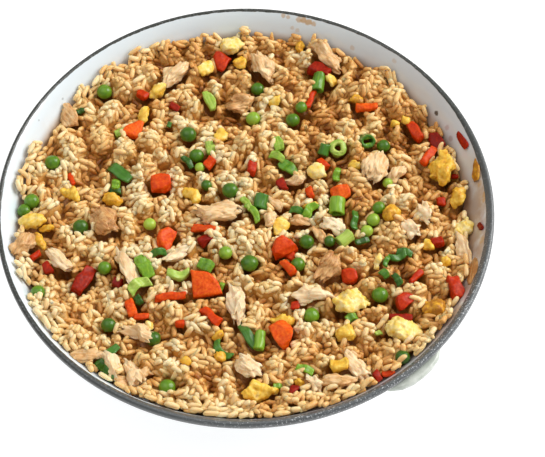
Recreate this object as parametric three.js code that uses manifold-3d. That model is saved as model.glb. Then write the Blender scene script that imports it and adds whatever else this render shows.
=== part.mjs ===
// Chicken fried rice in a round white enamelled pan with a dark rolled rim.
// Millimetres, +Z up, origin at the centre of the pan's base, X to the right and Y away from the diner.
import * as THREE from 'three';
import { mergeVertices } from 'three/addons/utils/BufferGeometryUtils.js';
import Module from 'manifold-3d';

// The pan, pressed from steel sheet and enamelled.
const rimRadius = 130;
const panHeight = 52;
const wallSlope = THREE.MathUtils.degToRad(60);
const cornerRadius = 20;
const sheet = 1.6;
const beadWidth = 2.8;
const beadHeight = 4.6;
const panSides = 48;
const cornerSteps = 3;

// The small lug under the rim.
const lugAzimuth = THREE.MathUtils.degToRad(-47.5);
const lugReach = 133.4;
const lugHalfAngle = THREE.MathUtils.degToRad(8.2);
const lugTop = 46.2;
const lugThickness = 4.4;

// The heap of rice.
const middleLevel = 39.8;
const slopeStarts = 62;
const gap = 0.35;
const pocketEase = 0.9;
const edgeGap = 0.9;
const heapRings = 12;
const sideLevels = [14];
const highestGrain = 46.6;
const highestTopping = 47.3;
const smallestStep = 0.05;
// How high the rice meets the wall, every 15 degrees round the pan from +X.
const edgeLevels = [
  37, 36, 37, 41, 42, 39.5, 39, 39.5, 42, 39.5, 38, 44.5,
  40, 44, 42.5, 45, 45, 45, 45, 45, 45, 45, 44.5, 41,
];

// Long cooked grains, the size of the real ones.
const grainCount = 118;
const grainLength = 9;
const grainThickness = 2.9;
const grainSides = 5;

// Places were read on a level plane seen from the diner's eye: what lies lower is slid back along the sight line.
const readingLevel = 44;
const eye = new THREE.Vector3(14.2, -499.4, 811.9);

const white = 0xe9ebe6;
const riceTan = 0xdcbc8c;
const peaGreen = 0x3f7f1c;
const carrotOrange = 0xe2531a;
const eggYellow = 0xe6bb52;
const chickenTan = 0xdfb57f;
const onionGreen = 0x5b9a35;

const wasm = await Module();
wasm.setup();
const { Manifold } = wasm;

// Seeded random numbers from 0 to 1.
function seeded(seed) {
  let state = seed >>> 0;
  return () => {
    state = (state + 0x6d2b79f5) >>> 0;
    let mixed = Math.imul(state ^ (state >>> 15), state | 1);
    mixed ^= mixed + Math.imul(mixed ^ (mixed >>> 7), mixed | 61);
    return ((mixed ^ (mixed >>> 14)) >>> 0) / 4294967296;
  };
}

const cellValue = (column, row) => seeded(column * 7919 + row * 104729 + 17)();
const eased = (t) => t * t * (3 - 2 * t);
const mix = THREE.MathUtils.lerp;

// Smooth uneven ground between -1 and 1, with bumps about one size across.
function uneven(x, y, size) {
  const column = Math.floor(x / size);
  const row = Math.floor(y / size);
  const across = eased(x / size - column);
  const along = eased(y / size - row);
  const near = mix(cellValue(column, row), cellValue(column + 1, row), across);
  const far = mix(cellValue(column, row + 1), cellValue(column + 1, row + 1), across);
  return 2 * mix(near, far, along) - 1;
}

// A geometry's net alone, with its shared vertices merged.
function bareNet(geometry) {
  const bare = geometry.clone();
  bare.deleteAttribute('normal');
  bare.deleteAttribute('uv');
  return mergeVertices(bare, 1e-4);
}

// The same as a solid that can be joined and cut.
function solidOf(geometry, matrix = new THREE.Matrix4()) {
  const merged = bareNet(geometry).applyMatrix4(matrix);
  return new Manifold(new wasm.Mesh({
    numProp: 3,
    vertProperties: new Float32Array(merged.attributes.position.array),
    triVerts: new Uint32Array(merged.index.array),
  }));
}

function geometryOf(solid) {
  const mesh = solid.getMesh();
  const geometry = new THREE.BufferGeometry();
  geometry.setAttribute('position', new THREE.BufferAttribute(new Float32Array(mesh.vertProperties), 3));
  geometry.setIndex(new THREE.BufferAttribute(new Uint32Array(mesh.triVerts), 1));
  geometry.computeVertexNormals();
  return geometry;
}

// The largest body of a solid: loose scraps and sealed hollows are left behind.
function largestBody(solid) {
  const bodies = solid.decompose();
  return bodies.reduce((best, body) => (body.volume() > best.volume() ? body : best));
}

// Outer radius of the pan's wall at a height, and the same for a layer inside it.
const wallTopRadius = rimRadius - beadWidth + sheet / Math.sin(wallSlope);
const baseRadius = wallTopRadius - (panHeight - cornerRadius * (1 - Math.cos(wallSlope))) / Math.tan(wallSlope)
  - cornerRadius * Math.sin(wallSlope);

function insideRadius(height, layer) {
  const cornerTop = cornerRadius - (cornerRadius - layer) * Math.cos(wallSlope);
  if (height >= cornerTop) {
    return wallTopRadius - (panHeight - height) / Math.tan(wallSlope) - layer / Math.sin(wallSlope);
  }
  const drop = cornerRadius - height;
  const radius = cornerRadius - layer;
  return baseRadius + Math.sqrt(Math.max(radius * radius - drop * drop, 0));
}

function cornerArc(layer, steps) {
  const points = [];
  for (let step = 0; step <= steps; step += 1) {
    const angle = -Math.PI / 2 + (step / steps) * wallSlope;
    const radius = cornerRadius - layer;
    points.push(new THREE.Vector2(
      baseRadius + radius * Math.cos(angle),
      cornerRadius + radius * Math.sin(angle),
    ));
  }
  return points;
}

function makePan() {
  const beadFoot = panHeight - beadHeight;
  const outer = [new THREE.Vector2(0, 0), ...cornerArc(0, cornerSteps)];
  const bead = [
    new THREE.Vector2(insideRadius(beadFoot + 0.3, 0), beadFoot + 0.3),
    new THREE.Vector2(rimRadius - 0.7, beadFoot),
    new THREE.Vector2(rimRadius, beadFoot + 1.1),
    new THREE.Vector2(rimRadius, panHeight - 1.3),
    new THREE.Vector2(rimRadius - 0.6, panHeight - 0.35),
    new THREE.Vector2(rimRadius - 1.3, panHeight),
    new THREE.Vector2(rimRadius - 2.1, panHeight - 0.25),
    new THREE.Vector2(insideRadius(panHeight - 1.3, sheet), panHeight - 1.3),
  ];
  const inner = [...cornerArc(sheet, cornerSteps).reverse(), new THREE.Vector2(0, sheet)];
  const geometry = new THREE.LatheGeometry([...outer, ...bead, ...inner], panSides);
  geometry.rotateX(Math.PI / 2);
  return geometryOf(solidOf(geometry));
}

// A curved tongue that follows the wall, thinner at its lip.
function makeLug() {
  const steps = 6;
  const foot = insideRadius(lugTop, 0) + gap + 0.2;
  const outline = new THREE.Shape();
  for (let step = 0; step <= steps; step += 1) {
    const angle = lugAzimuth + lugHalfAngle * (2 * step / steps - 1);
    const swell = 1 - Math.pow(Math.abs(2 * step / steps - 1), 3);
    const reach = mix(foot + 2.2, lugReach, swell);
    outline.lineTo(reach * Math.cos(angle), reach * Math.sin(angle));
  }
  for (let step = steps; step >= 0; step -= 1) {
    const angle = lugAzimuth + lugHalfAngle * (2 * step / steps - 1);
    outline.lineTo(foot * Math.cos(angle), foot * Math.sin(angle));
  }
  outline.curves.shift();
  const bevel = 0.9;
  const geometry = new THREE.ExtrudeGeometry(outline, {
    depth: lugThickness - 2 * bevel,
    bevelSize: bevel,
    bevelOffset: -bevel,
    bevelThickness: bevel,
    bevelSegments: 1,
    curveSegments: 1,
  });
  geometry.translate(0, 0, lugTop - lugThickness + bevel);
  return geometryOf(solidOf(geometry));
}

// Top of the bare heap: level in the middle, falling to the uneven edge, with clumps of grains.
function edgeLevel(azimuth) {
  const turn = ((azimuth / (2 * Math.PI)) % 1 + 1) % 1;
  const spot = turn * edgeLevels.length;
  const before = Math.floor(spot) % edgeLevels.length;
  const after = (before + 1) % edgeLevels.length;
  return mix(edgeLevels[before], edgeLevels[after], eased(spot - Math.floor(spot)));
}

function heapLevel(x, y) {
  const azimuth = Math.atan2(y, x);
  const edge = edgeLevel(azimuth);
  const reach = insideRadius(edge, sheet + edgeGap);
  const outward = THREE.MathUtils.clamp((Math.hypot(x, y) - slopeStarts) / (reach - slopeStarts), 0, 1);
  const clumps = 2.7 * uneven(x, y, 21) + 1.7 * uneven(x + 40, y - 9, 11) + 0.4 * uneven(x, y, 5);
  return Math.min(mix(middleLevel, edge, outward * outward) + clumps * (1 - 0.6 * outward), highestGrain);
}

function heapEdge(azimuth) {
  const reach = insideRadius(edgeLevel(azimuth), sheet + edgeGap);
  const level = heapLevel(reach * Math.cos(azimuth), reach * Math.sin(azimuth));
  return { reach: insideRadius(level, sheet + edgeGap), level };
}

// The core: a round net of triangles on top, down the wall and across the floor.
function makeCore() {
  const positions = [];
  const triangles = [];
  const addPoint = (x, y, z) => positions.push(x, y, z) / 3 - 1;
  const rings = [[addPoint(0, 0, heapLevel(0, 0))]];
  for (let ring = 1; ring <= heapRings; ring += 1) {
    const row = [];
    for (let spot = 0; spot < 6 * ring; spot += 1) {
      const azimuth = (spot / (6 * ring)) * 2 * Math.PI;
      const edge = heapEdge(azimuth);
      const radius = (ring / heapRings) * edge.reach;
      const x = radius * Math.cos(azimuth);
      const y = radius * Math.sin(azimuth);
      row.push(addPoint(x, y, ring === heapRings ? edge.level : heapLevel(x, y)));
    }
    rings.push(row);
  }
  for (let ring = 0; ring < heapRings; ring += 1) {
    const inner = rings[ring];
    const outer = rings[ring + 1];
    for (let sector = 0; sector < 6; sector += 1) {
      for (let step = 0; step <= ring; step += 1) {
        const a = inner[(sector * ring + step) % inner.length];
        const b = outer[(sector * (ring + 1) + step) % outer.length];
        const c = outer[(sector * (ring + 1) + step + 1) % outer.length];
        triangles.push(a, b, c);
        if (step < ring) triangles.push(a, c, inner[(sector * ring + step + 1) % inner.length]);
      }
    }
  }
  let above = rings[heapRings];
  const count = above.length;
  for (const level of [...sideLevels, sheet + edgeGap]) {
    const row = above.map((unused, spot) => {
      const azimuth = (spot / count) * 2 * Math.PI;
      const radius = insideRadius(level, sheet + edgeGap);
      return addPoint(radius * Math.cos(azimuth), radius * Math.sin(azimuth), level);
    });
    for (let spot = 0; spot < count; spot += 1) {
      const next = (spot + 1) % count;
      triangles.push(above[spot], row[spot], row[next], above[spot], row[next], above[next]);
    }
    above = row;
  }
  const floor = addPoint(0, 0, sheet + edgeGap);
  above.forEach((corner, spot) => triangles.push(corner, floor, above[(spot + 1) % count]));
  const geometry = new THREE.BufferGeometry();
  geometry.setAttribute('position', new THREE.Float32BufferAttribute(positions, 3));
  geometry.setIndex(triangles);
  return solidOf(geometry);
}

// A closed skin over cross-sections; a section of no width is a tip, a wide last one is closed flat.
function loft(sections, sides) {
  const positions = [];
  const triangles = [];
  const rows = sections.map(({ centre, halfWidth, halfHeight, lean = 0 }) => {
    const count = halfWidth > 0 ? sides : 1;
    const row = [];
    for (let side = 0; side < count; side += 1) {
      const angle = (side / sides) * 2 * Math.PI + Math.PI / sides;
      const y = Math.cos(angle) * halfWidth;
      const z = Math.sin(angle) * halfHeight;
      positions.push(centre.x + lean * y, centre.y + y, centre.z + z);
      row.push(positions.length / 3 - 1);
    }
    return row;
  });
  const closeEnd = (row, section, forward) => {
    if (row.length === 1) return;
    positions.push(section.centre.x, section.centre.y, section.centre.z);
    const middle = positions.length / 3 - 1;
    row.forEach((corner, side) => {
      const next = row[(side + 1) % row.length];
      triangles.push(...(forward ? [middle, corner, next] : [middle, next, corner]));
    });
  };
  closeEnd(rows[0], sections[0], false);
  closeEnd(rows[rows.length - 1], sections[sections.length - 1], true);
  for (let index = 0; index + 1 < rows.length; index += 1) {
    for (let side = 0; side < sides; side += 1) {
      const next = (side + 1) % sides;
      const [near, far] = [rows[index], rows[index + 1]];
      const a = near[side % near.length];
      const b = near[next % near.length];
      const c = far[side % far.length];
      const d = far[next % far.length];
      if (near.length > 1) triangles.push(a, b, c);
      if (far.length > 1) triangles.push(b, d, c);
    }
  }
  const geometry = new THREE.BufferGeometry();
  geometry.setAttribute('position', new THREE.Float32BufferAttribute(positions, 3));
  geometry.setIndex(triangles);
  return geometry;
}

function makeGrain(length, thickness, bend) {
  const fullness = [0, 0.98, 0.92, 0];
  const sections = fullness.map((full, index) => {
    const along = index / (fullness.length - 1) - 0.5;
    return {
      centre: new THREE.Vector3(along * length, bend * (0.25 - along * along) * 4, 0),
      halfWidth: full * thickness / 2,
      halfHeight: full * thickness / 2.2,
    };
  });
  return loft(sections, grainSides);
}

// A ball with shallow lumps, used for peas and for pieces of scrambled egg.
function makeLumpy([length, width, height], lumps, seed, grow) {
  const geometry = bareNet(new THREE.IcosahedronGeometry(1, 1));
  const position = geometry.attributes.position;
  const point = new THREE.Vector3();
  for (let index = 0; index < position.count; index += 1) {
    point.fromBufferAttribute(position, index).normalize();
    const lump = 1 + lumps * uneven(2.4 * point.x + seed, 2.4 * point.y + 1.7 * point.z - seed, 1);
    position.setXYZ(
      index,
      point.x * lump * (length / 2 + grow),
      point.y * lump * (width / 2 + grow),
      point.z * lump * (height / 2 + grow),
    );
  }
  return geometry;
}

const makePea = ({ size, seed }, grow) => makeLumpy([size, size * 0.96, size * 0.9], 0.03, seed, grow);
const makeEgg = ({ size, seed }, grow) => makeLumpy(size, 0.24, seed, grow);

// Torn meat: a bent strip or chunk, thick in the middle, with an uneven skin.
function makeChicken({ size, bend = 0, seed }, grow) {
  const [length, width, height] = size;
  const random = seeded(seed * 31 + 5);
  const rings = 5;
  const sections = [];
  for (let ring = 0; ring <= rings + 1; ring += 1) {
    const along = ring / (rings + 1) - 0.5;
    const full = Math.pow(1 - Math.pow(Math.abs(2 * along), 3.2), 0.5);
    const sway = 0.1 * width * (random() - 0.5);
    const swell = 0.82 + 0.3 * random();
    const tip = ring === 0 || ring === rings + 1;
    sections.push({
      centre: new THREE.Vector3(
        along * (length + 2 * grow * 1.4),
        bend * (0.25 - along * along) * 4 + sway,
        0.12 * height * (random() - 0.5),
      ),
      halfWidth: tip ? 0 : full * swell * width / 2 + grow,
      halfHeight: tip ? 0 : full * swell * height / 2 + grow,
      lean: 0.18 * (random() - 0.5),
    });
  }
  return loft(sections, 6);
}

// Leaf or strip of spring onion: thin, curved up along its length and slightly wavy.
function makeLeaf({ size, bend = 0, rise = 0, seed }, grow) {
  const [length, width, thickness] = size;
  const steps = 5;
  const sections = [];
  for (let step = 0; step <= steps; step += 1) {
    const along = step / steps - 0.5;
    const arch = (0.25 - along * along) * 4;
    const taper = 1 - 0.35 * Math.pow(Math.abs(2 * along), 3);
    sections.push({
      centre: new THREE.Vector3(
        along * (length + 2 * grow),
        bend * arch,
        rise * arch + 0.12 * width * Math.sin(step * 1.9 + seed),
      ),
      halfWidth: Math.SQRT2 * ((width * taper) / 2 + grow),
      halfHeight: Math.SQRT2 * (thickness / 2 + grow),
    });
  }
  return loft(sections, 4);
}

// Ring or short tube of spring onion, standing on its cut end.
function makeRing({ size }, grow) {
  const [across, length, wall] = size;
  const outer = across / 2 + grow;
  const half = length / 2 + grow;
  const inner = grow > 0 ? 0 : across / 2 - wall;
  const profile = [[inner, -half], [outer, -half], [outer, half], [inner, half]];
  if (inner > 0) profile.push(profile[0]);
  const geometry = new THREE.LatheGeometry(profile.map(([r, z]) => new THREE.Vector2(r, z)), 12);
  geometry.rotateX(Math.PI / 2);
  return geometry;
}

// Carrot cut across: quarters and halves of a round slice, dice and sticks.
function carrotOutline(cut) {
  const outline = [];
  if (cut === 'quarter') {
    for (let step = 0; step <= 4; step += 1) {
      const angle = (step / 4) * Math.PI / 2;
      outline.push([Math.cos(angle) - 0.5, Math.sin(angle) - 0.5]);
    }
    outline.push([-0.5, -0.5]);
  } else if (cut === 'half') {
    for (let step = 0; step <= 5; step += 1) {
      const angle = (step / 5) * Math.PI;
      outline.push([0.5 * Math.cos(angle), Math.sin(angle) - 0.5]);
    }
  } else {
    outline.push([-0.5, -0.42], [0.1, -0.5], [0.5, -0.38], [0.44, 0.36], [-0.05, 0.5], [-0.48, 0.4]);
  }
  return outline;
}

function makeCarrot({ size, cut, seed }, grow) {
  const [length, width, thickness] = size;
  const random = seeded(seed * 97 + 3);
  const bevel = 0.6;
  const points = carrotOutline(cut).map(([x, y]) => new THREE.Vector2(
    x * (length + 2 * grow) * (0.94 + 0.1 * random()),
    y * (width + 2 * grow) * (0.94 + 0.1 * random()),
  ));
  const geometry = new THREE.ExtrudeGeometry(new THREE.Shape(points), {
    depth: thickness + 2 * grow - 2 * bevel,
    bevelSize: bevel,
    bevelOffset: -bevel + 0.3 * grow,
    bevelThickness: bevel,
    bevelSegments: 1,
  });
  geometry.translate(0, 0, bevel - thickness / 2 - grow);
  return geometry;
}

// Every topping that shows as a piece of its own: place read on the level plane, heading and tilts in degrees.
const kinds = [
  {
    name: 'pea',
    make: makePea,
    colour: peaGreen,
    roughness: 0.45,
    lift: 0.12,
    pieces: [
      { at: [-79, 75.5], size: 9.2 },
      { at: [-104, 28], size: 9 },
      { at: [-113, 3], size: 9 },
      { at: [-86, -12.5], size: 9 },
      { at: [-32, 47.5], size: 9.6 },
      { at: [-27, 33.5], size: 8.6 },
      { at: [-8.5, 11.5], size: 9.4 },
      { at: [3, 58.5], size: 8.8 },
      { at: [24.5, 58], size: 8.4 },
      { at: [73.5, 41.5], size: 8 },
      { at: [32, -20], size: 8.6 },
      { at: [2.5, -33.5], size: 9.8 },
      { at: [-68, -71], size: 8.4 },
      { at: [-37, -105], size: 9.2 },
      { at: [34.5, -64], size: 8.8 },
      { at: [69.5, -51.5], size: 9.2 },
    ],
  },
  {
    name: 'carrot',
    make: makeCarrot,
    colour: carrotOrange,
    roughness: 0.5,
    lift: 0.16,
    pieces: [
      { at: [-16.5, 97.5], size: [10, 10, 5], cut: 'quarter', heading: 150, pitch: 20 },
      { at: [39.5, 91.5], size: [12, 9.5, 6], cut: 'dice', heading: -30, roll: -15 },
      { at: [-62.5, 50.5], size: [11, 11, 6], cut: 'quarter', heading: 80, roll: 12 },
      { at: [-45, 15.5], size: [11, 10, 7], cut: 'dice', heading: 8, roll: 14 },
      { at: [50, 11], size: [10, 8.5, 6], cut: 'dice', heading: 20, roll: 20 },
      { at: [91, 51], size: [13, 5.5, 5], cut: 'dice', heading: -62, roll: 15 },
      { at: [97.5, 35.5], size: [13, 5, 5], cut: 'dice', heading: 58, roll: 20, lift: 0.4 },
      { at: [-42, -18.5], size: [15, 10, 6], cut: 'half', heading: 68, roll: 38 },
      { at: [-19.5, -45], size: [15, 15, 6.5], cut: 'quarter', heading: 8, roll: 22 },
      { at: [-82.5, -44.5], size: [17, 7.5, 6], cut: 'dice', heading: 63, roll: 18 },
      { at: [19.5, -23], size: [13, 10.5, 6], cut: 'half', heading: 30, roll: 15 },
      { at: [20, -75], size: [14, 11, 7], cut: 'dice', heading: -62, roll: 12 },
      { at: [54, -40.5], size: [8, 7.5, 6], cut: 'dice', heading: 10, roll: 12 },
      { at: [81.5, -54], size: [10.5, 7.5, 6], cut: 'half', heading: 40, roll: 20 },
    ],
  },
  {
    name: 'chicken',
    make: makeChicken,
    colour: chickenTan,
    roughness: 0.6,
    lift: 0.2,
    pieces: [
      { at: [43.2, 103.2], size: [29, 8.5, 7.5], bend: 1.5, heading: -42, pitch: -12, lift: 0.6 },
      { at: [-4.5, 70.5], size: [20, 13, 9], bend: -1, heading: 14 },
      { at: [-40, 89.5], size: [18, 15, 9], heading: 60 },
      { at: [8.5, 93], size: [20, 13, 9], heading: -58 },
      { at: [-16, 0.5], size: [37, 11, 8], bend: -4, heading: 6 },
      { at: [69, 27.5], size: [20, 16, 9], heading: 62 },
      { at: [93.5, -1.5], size: [15, 11, 5], heading: -70, roll: 20 },
      { at: [-61.5, -37], size: [23, 10, 8], bend: 1, heading: -68 },
      { at: [-95.5, -34], size: [23, 7, 7], bend: 1.5, heading: -46 },
      { at: [-3.5, -56], size: [25, 10, 9], bend: -1.5, heading: -74 },
      { at: [2, -94], size: [17, 14, 8], heading: -40 },
      { at: [58.5, -91.5], size: [19, 12, 7], bend: -2.5, heading: -52 },
      { at: [-55, -97], size: [22, 9.5, 8], bend: 1, heading: -64 },
    ],
  },
  {
    name: 'egg',
    make: makeEgg,
    colour: eggYellow,
    roughness: 0.55,
    lift: 0.18,
    pieces: [
      { at: [105, 26.5], size: [19, 11.5, 8.5], heading: 76, lift: 0.6 },
      { at: [54.5, -56], size: [18.5, 10, 8], heading: 12 },
      { at: [81, -71.5], size: [16, 12, 9], heading: -10 },
      { at: [-10, 108.5], size: [12, 11, 8], heading: 30 },
      { at: [8, -107], size: [18, 8, 6], heading: 8 },
    ],
  },
  {
    name: 'spring_onion_leaf',
    make: makeLeaf,
    colour: onionGreen,
    roughness: 0.4,
    lift: 0.5,
    pieces: [
      { at: [-67.5, 21.5], size: [15, 6.5, 1.4], rise: 1.5, heading: -38 },
      { at: [-21.5, 70], size: [12, 5, 2.4], bend: 1, heading: -66 },
      { at: [22, 26.5], size: [11, 6.5, 1.6], rise: 1, heading: -40 },
      { at: [-51.5, -36.5], size: [13.5, 7, 1.6], rise: 2, heading: -58 },
      { at: [-67.5, -88.5], size: [15, 4.5, 1.4], rise: 1, heading: 47 },
      { at: [2.5, -76.5], size: [15, 5, 1.6], rise: 1.5, heading: -58 },
    ],
  },
  {
    name: 'spring_onion_ring',
    make: makeRing,
    colour: onionGreen,
    roughness: 0.4,
    lift: 0.25,
    pieces: [
      { at: [49, 39.5], size: [9.5, 4.5, 1.6], roll: 24 },
      { at: [64.5, 44.5], size: [8, 8.5, 1.5], heading: 20, roll: 38 },
    ],
  },
];

// The point on the heap that the eye sees at a place read on the level plane.
function seenPoint([readX, readY], rise) {
  const point = new THREE.Vector3();
  let level = readingLevel;
  for (let pass = 0; pass < 6; pass += 1) {
    const share = (eye.z - level) / (eye.z - readingLevel);
    point.set(mix(eye.x, readX, share), mix(eye.y, readY, share), level);
    level = heapLevel(point.x, point.y) + rise;
  }
  return point.setZ(level);
}

function nodeName(name, number) {
  return `${name}_${String(number).padStart(2, '0')}`;
}

function placeToppings() {
  const placed = [];
  kinds.forEach((kind, kindIndex) => kind.pieces.forEach((piece, index) => {
    const spec = { ...piece, seed: kindIndex * 20 + index + 1 };
    const height = Array.isArray(spec.size) ? spec.size[2] : spec.size;
    const lift = (spec.lift ?? kind.lift) * height;
    const geometry = geometryOf(solidOf(kind.make(spec, 0)));
    const material = new THREE.MeshStandardMaterial({ color: kind.colour, roughness: kind.roughness });
    const mesh = new THREE.Mesh(geometry, material);
    mesh.name = nodeName(kind.name, index + 1);
    mesh.position.copy(seenPoint(spec.at, lift));
    mesh.rotation.set(
      THREE.MathUtils.degToRad(spec.roll ?? 0),
      -THREE.MathUtils.degToRad(spec.pitch ?? 0),
      THREE.MathUtils.degToRad(spec.heading ?? 0),
      'ZYX',
    );
    mesh.updateMatrixWorld(true);
    const top = new THREE.Box3().setFromObject(mesh, true).max.z;
    mesh.position.z -= Math.max(top - highestTopping, 0);
    mesh.updateMatrixWorld(true);
    placed.push({ mesh, pocket: solidOf(kind.make(spec, gap + pocketEase), mesh.matrixWorld).simplify(pocketEase) });
  }));
  return placed;
}

// Grains lie on the core in an even spiral, each turned and tilted at random and half sunk.
function clearOfPan(solid) {
  const { vertProperties } = solid.getMesh();
  for (let index = 0; index < vertProperties.length; index += 3) {
    const [x, y, z] = vertProperties.subarray(index, index + 3);
    if (z > highestGrain || Math.hypot(x, y) > insideRadius(z, sheet + gap + 0.25)) return false;
  }
  return true;
}

function looseGrains(toppings) {
  const random = seeded(2024);
  const spiralTurn = Math.PI * (3 - Math.sqrt(5));
  const grains = [];
  for (let index = 0; index < grainCount; index += 1) {
    const azimuth = index * spiralTurn;
    const radius = Math.sqrt((index + 0.5) / grainCount) * heapEdge(azimuth).reach * 0.985;
    for (let attempt = 0; attempt < 6; attempt += 1) {
      const x = radius * Math.cos(azimuth) + 3 * (random() - 0.5) * attempt;
      const y = radius * Math.sin(azimuth) + 3 * (random() - 0.5) * attempt;
      const length = grainLength * (0.85 + 0.3 * random()) * (attempt > 3 ? 0.8 : 1);
      const thickness = grainThickness * (0.9 + 0.2 * random());
      const turn = new THREE.Euler(0, (random() - 0.35) * 0.7, random() * 2 * Math.PI, 'ZYX');
      const matrix = new THREE.Matrix4().makeRotationFromEuler(turn);
      matrix.setPosition(x, y, heapLevel(x, y) + 0.25 * thickness);
      const solid = solidOf(makeGrain(length, thickness, 0.6 * (random() - 0.5)), matrix);
      const spot = new THREE.Vector3(x, y, heapLevel(x, y));
      const near = toppings.filter(({ mesh }) => mesh.position.distanceTo(spot) < 26);
      const blocked = near.some(({ pocket }) => !pocket.intersect(solid).isEmpty());
      if (!blocked && clearOfPan(solid)) {
        grains.push(solid);
        break;
      }
    }
  }
  return grains;
}

function makeHeap(toppings) {
  const core = makeCore().subtract(Manifold.union(toppings.map(({ pocket }) => pocket)));
  const heap = Manifold.union([largestBody(core), ...looseGrains(toppings)]);
  return geometryOf(largestBody(heap).simplify(smallestStep));
}

function addPiece(group, name, geometry, colour, roughness, metalness = 0) {
  const material = new THREE.MeshStandardMaterial({ color: colour, roughness, metalness });
  const mesh = new THREE.Mesh(geometry, material);
  mesh.name = name;
  group.add(mesh);
}

const friedRicePan = new THREE.Group();
addPiece(friedRicePan, 'pan', makePan(), white, 0.25, 0.1);
addPiece(friedRicePan, 'lug', makeLug(), white, 0.25, 0.1);
const toppings = placeToppings();
addPiece(friedRicePan, 'rice_heap', makeHeap(toppings), riceTan, 0.7);
toppings.forEach(({ mesh }) => friedRicePan.add(mesh));

export default friedRicePan;
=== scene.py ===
import math
import random

import bmesh
import bpy
import numpy as np
from mathutils import Euler, Matrix, Vector, noise
from mathutils.bvhtree import BVHTree


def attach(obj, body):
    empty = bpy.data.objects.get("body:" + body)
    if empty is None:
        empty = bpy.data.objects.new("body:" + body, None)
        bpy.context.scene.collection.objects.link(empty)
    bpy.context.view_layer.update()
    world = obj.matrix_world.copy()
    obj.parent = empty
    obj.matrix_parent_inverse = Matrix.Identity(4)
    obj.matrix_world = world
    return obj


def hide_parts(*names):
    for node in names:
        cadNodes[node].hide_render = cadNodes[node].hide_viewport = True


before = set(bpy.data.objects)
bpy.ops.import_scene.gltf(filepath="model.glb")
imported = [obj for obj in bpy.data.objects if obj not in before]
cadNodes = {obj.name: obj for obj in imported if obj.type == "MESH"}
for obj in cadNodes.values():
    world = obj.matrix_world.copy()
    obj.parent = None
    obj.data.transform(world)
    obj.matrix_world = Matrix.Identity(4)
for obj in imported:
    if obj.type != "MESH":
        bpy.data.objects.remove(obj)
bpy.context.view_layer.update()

mm = 0.001
noise.seed_set(4)  # the noise vectors are the same in every run


# camera: the photograph's place, its focal length and its slight roll
view = {
    "eye": (14.2, -499.4, 811.9),
    "aim": (14.2, -17.2, 52.0),
    "roll": 0.7,
    "focal": 1740.0,  # in pixels, as the width of the frame
    "frameWidth": 545,
}


def cameraAxes():
    back = (Vector(view["eye"]) - Vector(view["aim"])).normalized()
    right = Vector((0, 0, 1)).cross(back).normalized()
    up = back.cross(right)
    turn = math.radians(view["roll"])
    return right * math.cos(turn) + up * math.sin(turn), up * math.cos(turn) - right * math.sin(turn), back


def makeCamera():
    data = bpy.data.cameras.new("viewCamera")
    data.sensor_width = 36
    data.lens = view["focal"] * data.sensor_width / view["frameWidth"]
    data.clip_start = 0.05
    camera = bpy.data.objects.new("viewCamera", data)
    matrix = Matrix(cameraAxes()).transposed().to_4x4()
    matrix.translation = Vector(view["eye"]) * mm
    camera.matrix_world = matrix
    bpy.context.scene.collection.objects.link(camera)
    bpy.context.scene.camera = camera


# small helpers
def smooth(t):
    t = np.clip(t, 0, 1)
    return t * t * (3 - 2 * t)


def linkPiece(name, mesh, replaced=()):
    piece = bpy.data.objects.new(name, mesh)
    bpy.context.scene.collection.objects.link(piece)
    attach(piece, "root")
    if replaced:
        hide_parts(*replaced)
    return piece


def shadeSmooth(mesh):
    mesh.polygons.foreach_set("use_smooth", [True] * len(mesh.polygons))


def nodeNames(kind):
    return sorted(name for name in cadNodes if name.rsplit("_", 1)[0] == kind)


def treeOf(meshes):
    # one search tree in mm over several meshes
    points, faces = [], []
    for mesh in meshes:
        start = len(points)
        points += [v.co / mm for v in mesh.vertices]
        faces += [[start + i for i in p.vertices] for p in mesh.polygons]
    return BVHTree.FromPolygons(points, faces)


# shader helpers
def newMaterial(name):
    material = bpy.data.materials.new(name)
    material.use_nodes = True
    return material, material.node_tree, material.node_tree.nodes["Principled BSDF"]


def addNode(tree, kind, settings=None, **inputs):
    node = tree.nodes.new(kind)
    for key, value in (settings or {}).items():
        setattr(node, key, value)
    for key, value in inputs.items():
        socket = node.inputs[int(key[1:])] if key[0] == "i" and key[1:].isdigit() else node.inputs[key]
        if isinstance(value, bpy.types.NodeSocket):
            tree.links.new(value, socket)
        else:
            socket.default_value = value
    return node


def math2(tree, operation, a, b=0.0, clamp=False):
    settings = {"operation": operation, "use_clamp": clamp}
    return addNode(tree, "ShaderNodeMath", settings, i0=a, i1=b).outputs[0]


def product(tree, first, *others):
    for other in others:
        first = math2(tree, "MULTIPLY", first, other)
    return first


def centred(tree, value, amount):
    # a noise that swings round nothing by half the amount each way
    return product(tree, math2(tree, "SUBTRACT", value, 0.5), amount)


def vectorMath(tree, operation, output="Vector", **inputs):
    return addNode(tree, "ShaderNodeVectorMath", {"operation": operation}, **inputs).outputs[output]


def objectPlace(tree):
    return addNode(tree, "ShaderNodeTexCoord").outputs["Object"]


def ramp(tree, value, low, high):
    settings = {"interpolation_type": "SMOOTHSTEP"}
    return addNode(tree, "ShaderNodeMapRange", settings, i0=value, i1=low, i2=high).outputs[0]


def mixColour(tree, share, a, b, blend="MIX"):
    node = tree.nodes.new("ShaderNodeMix")
    node.data_type = "RGBA"
    node.blend_type = blend
    for socket, value in zip((node.inputs[0], node.inputs[6], node.inputs[7]), (share, a, b)):
        if isinstance(value, bpy.types.NodeSocket):
            tree.links.new(value, socket)
        else:
            socket.default_value = (*value, 1) if isinstance(value, tuple) and len(value) == 3 else value
    return node.outputs[2]


def noiseAt(tree, vector, size, detail=3.0, rough=0.55):
    # size is the width of a blotch in mm
    inputs = {"Vector": vector, "Scale": 1 / (size * mm), "Detail": detail, "Roughness": rough}
    return addNode(tree, "ShaderNodeTexNoise", None, **inputs).outputs["Fac"]


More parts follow.
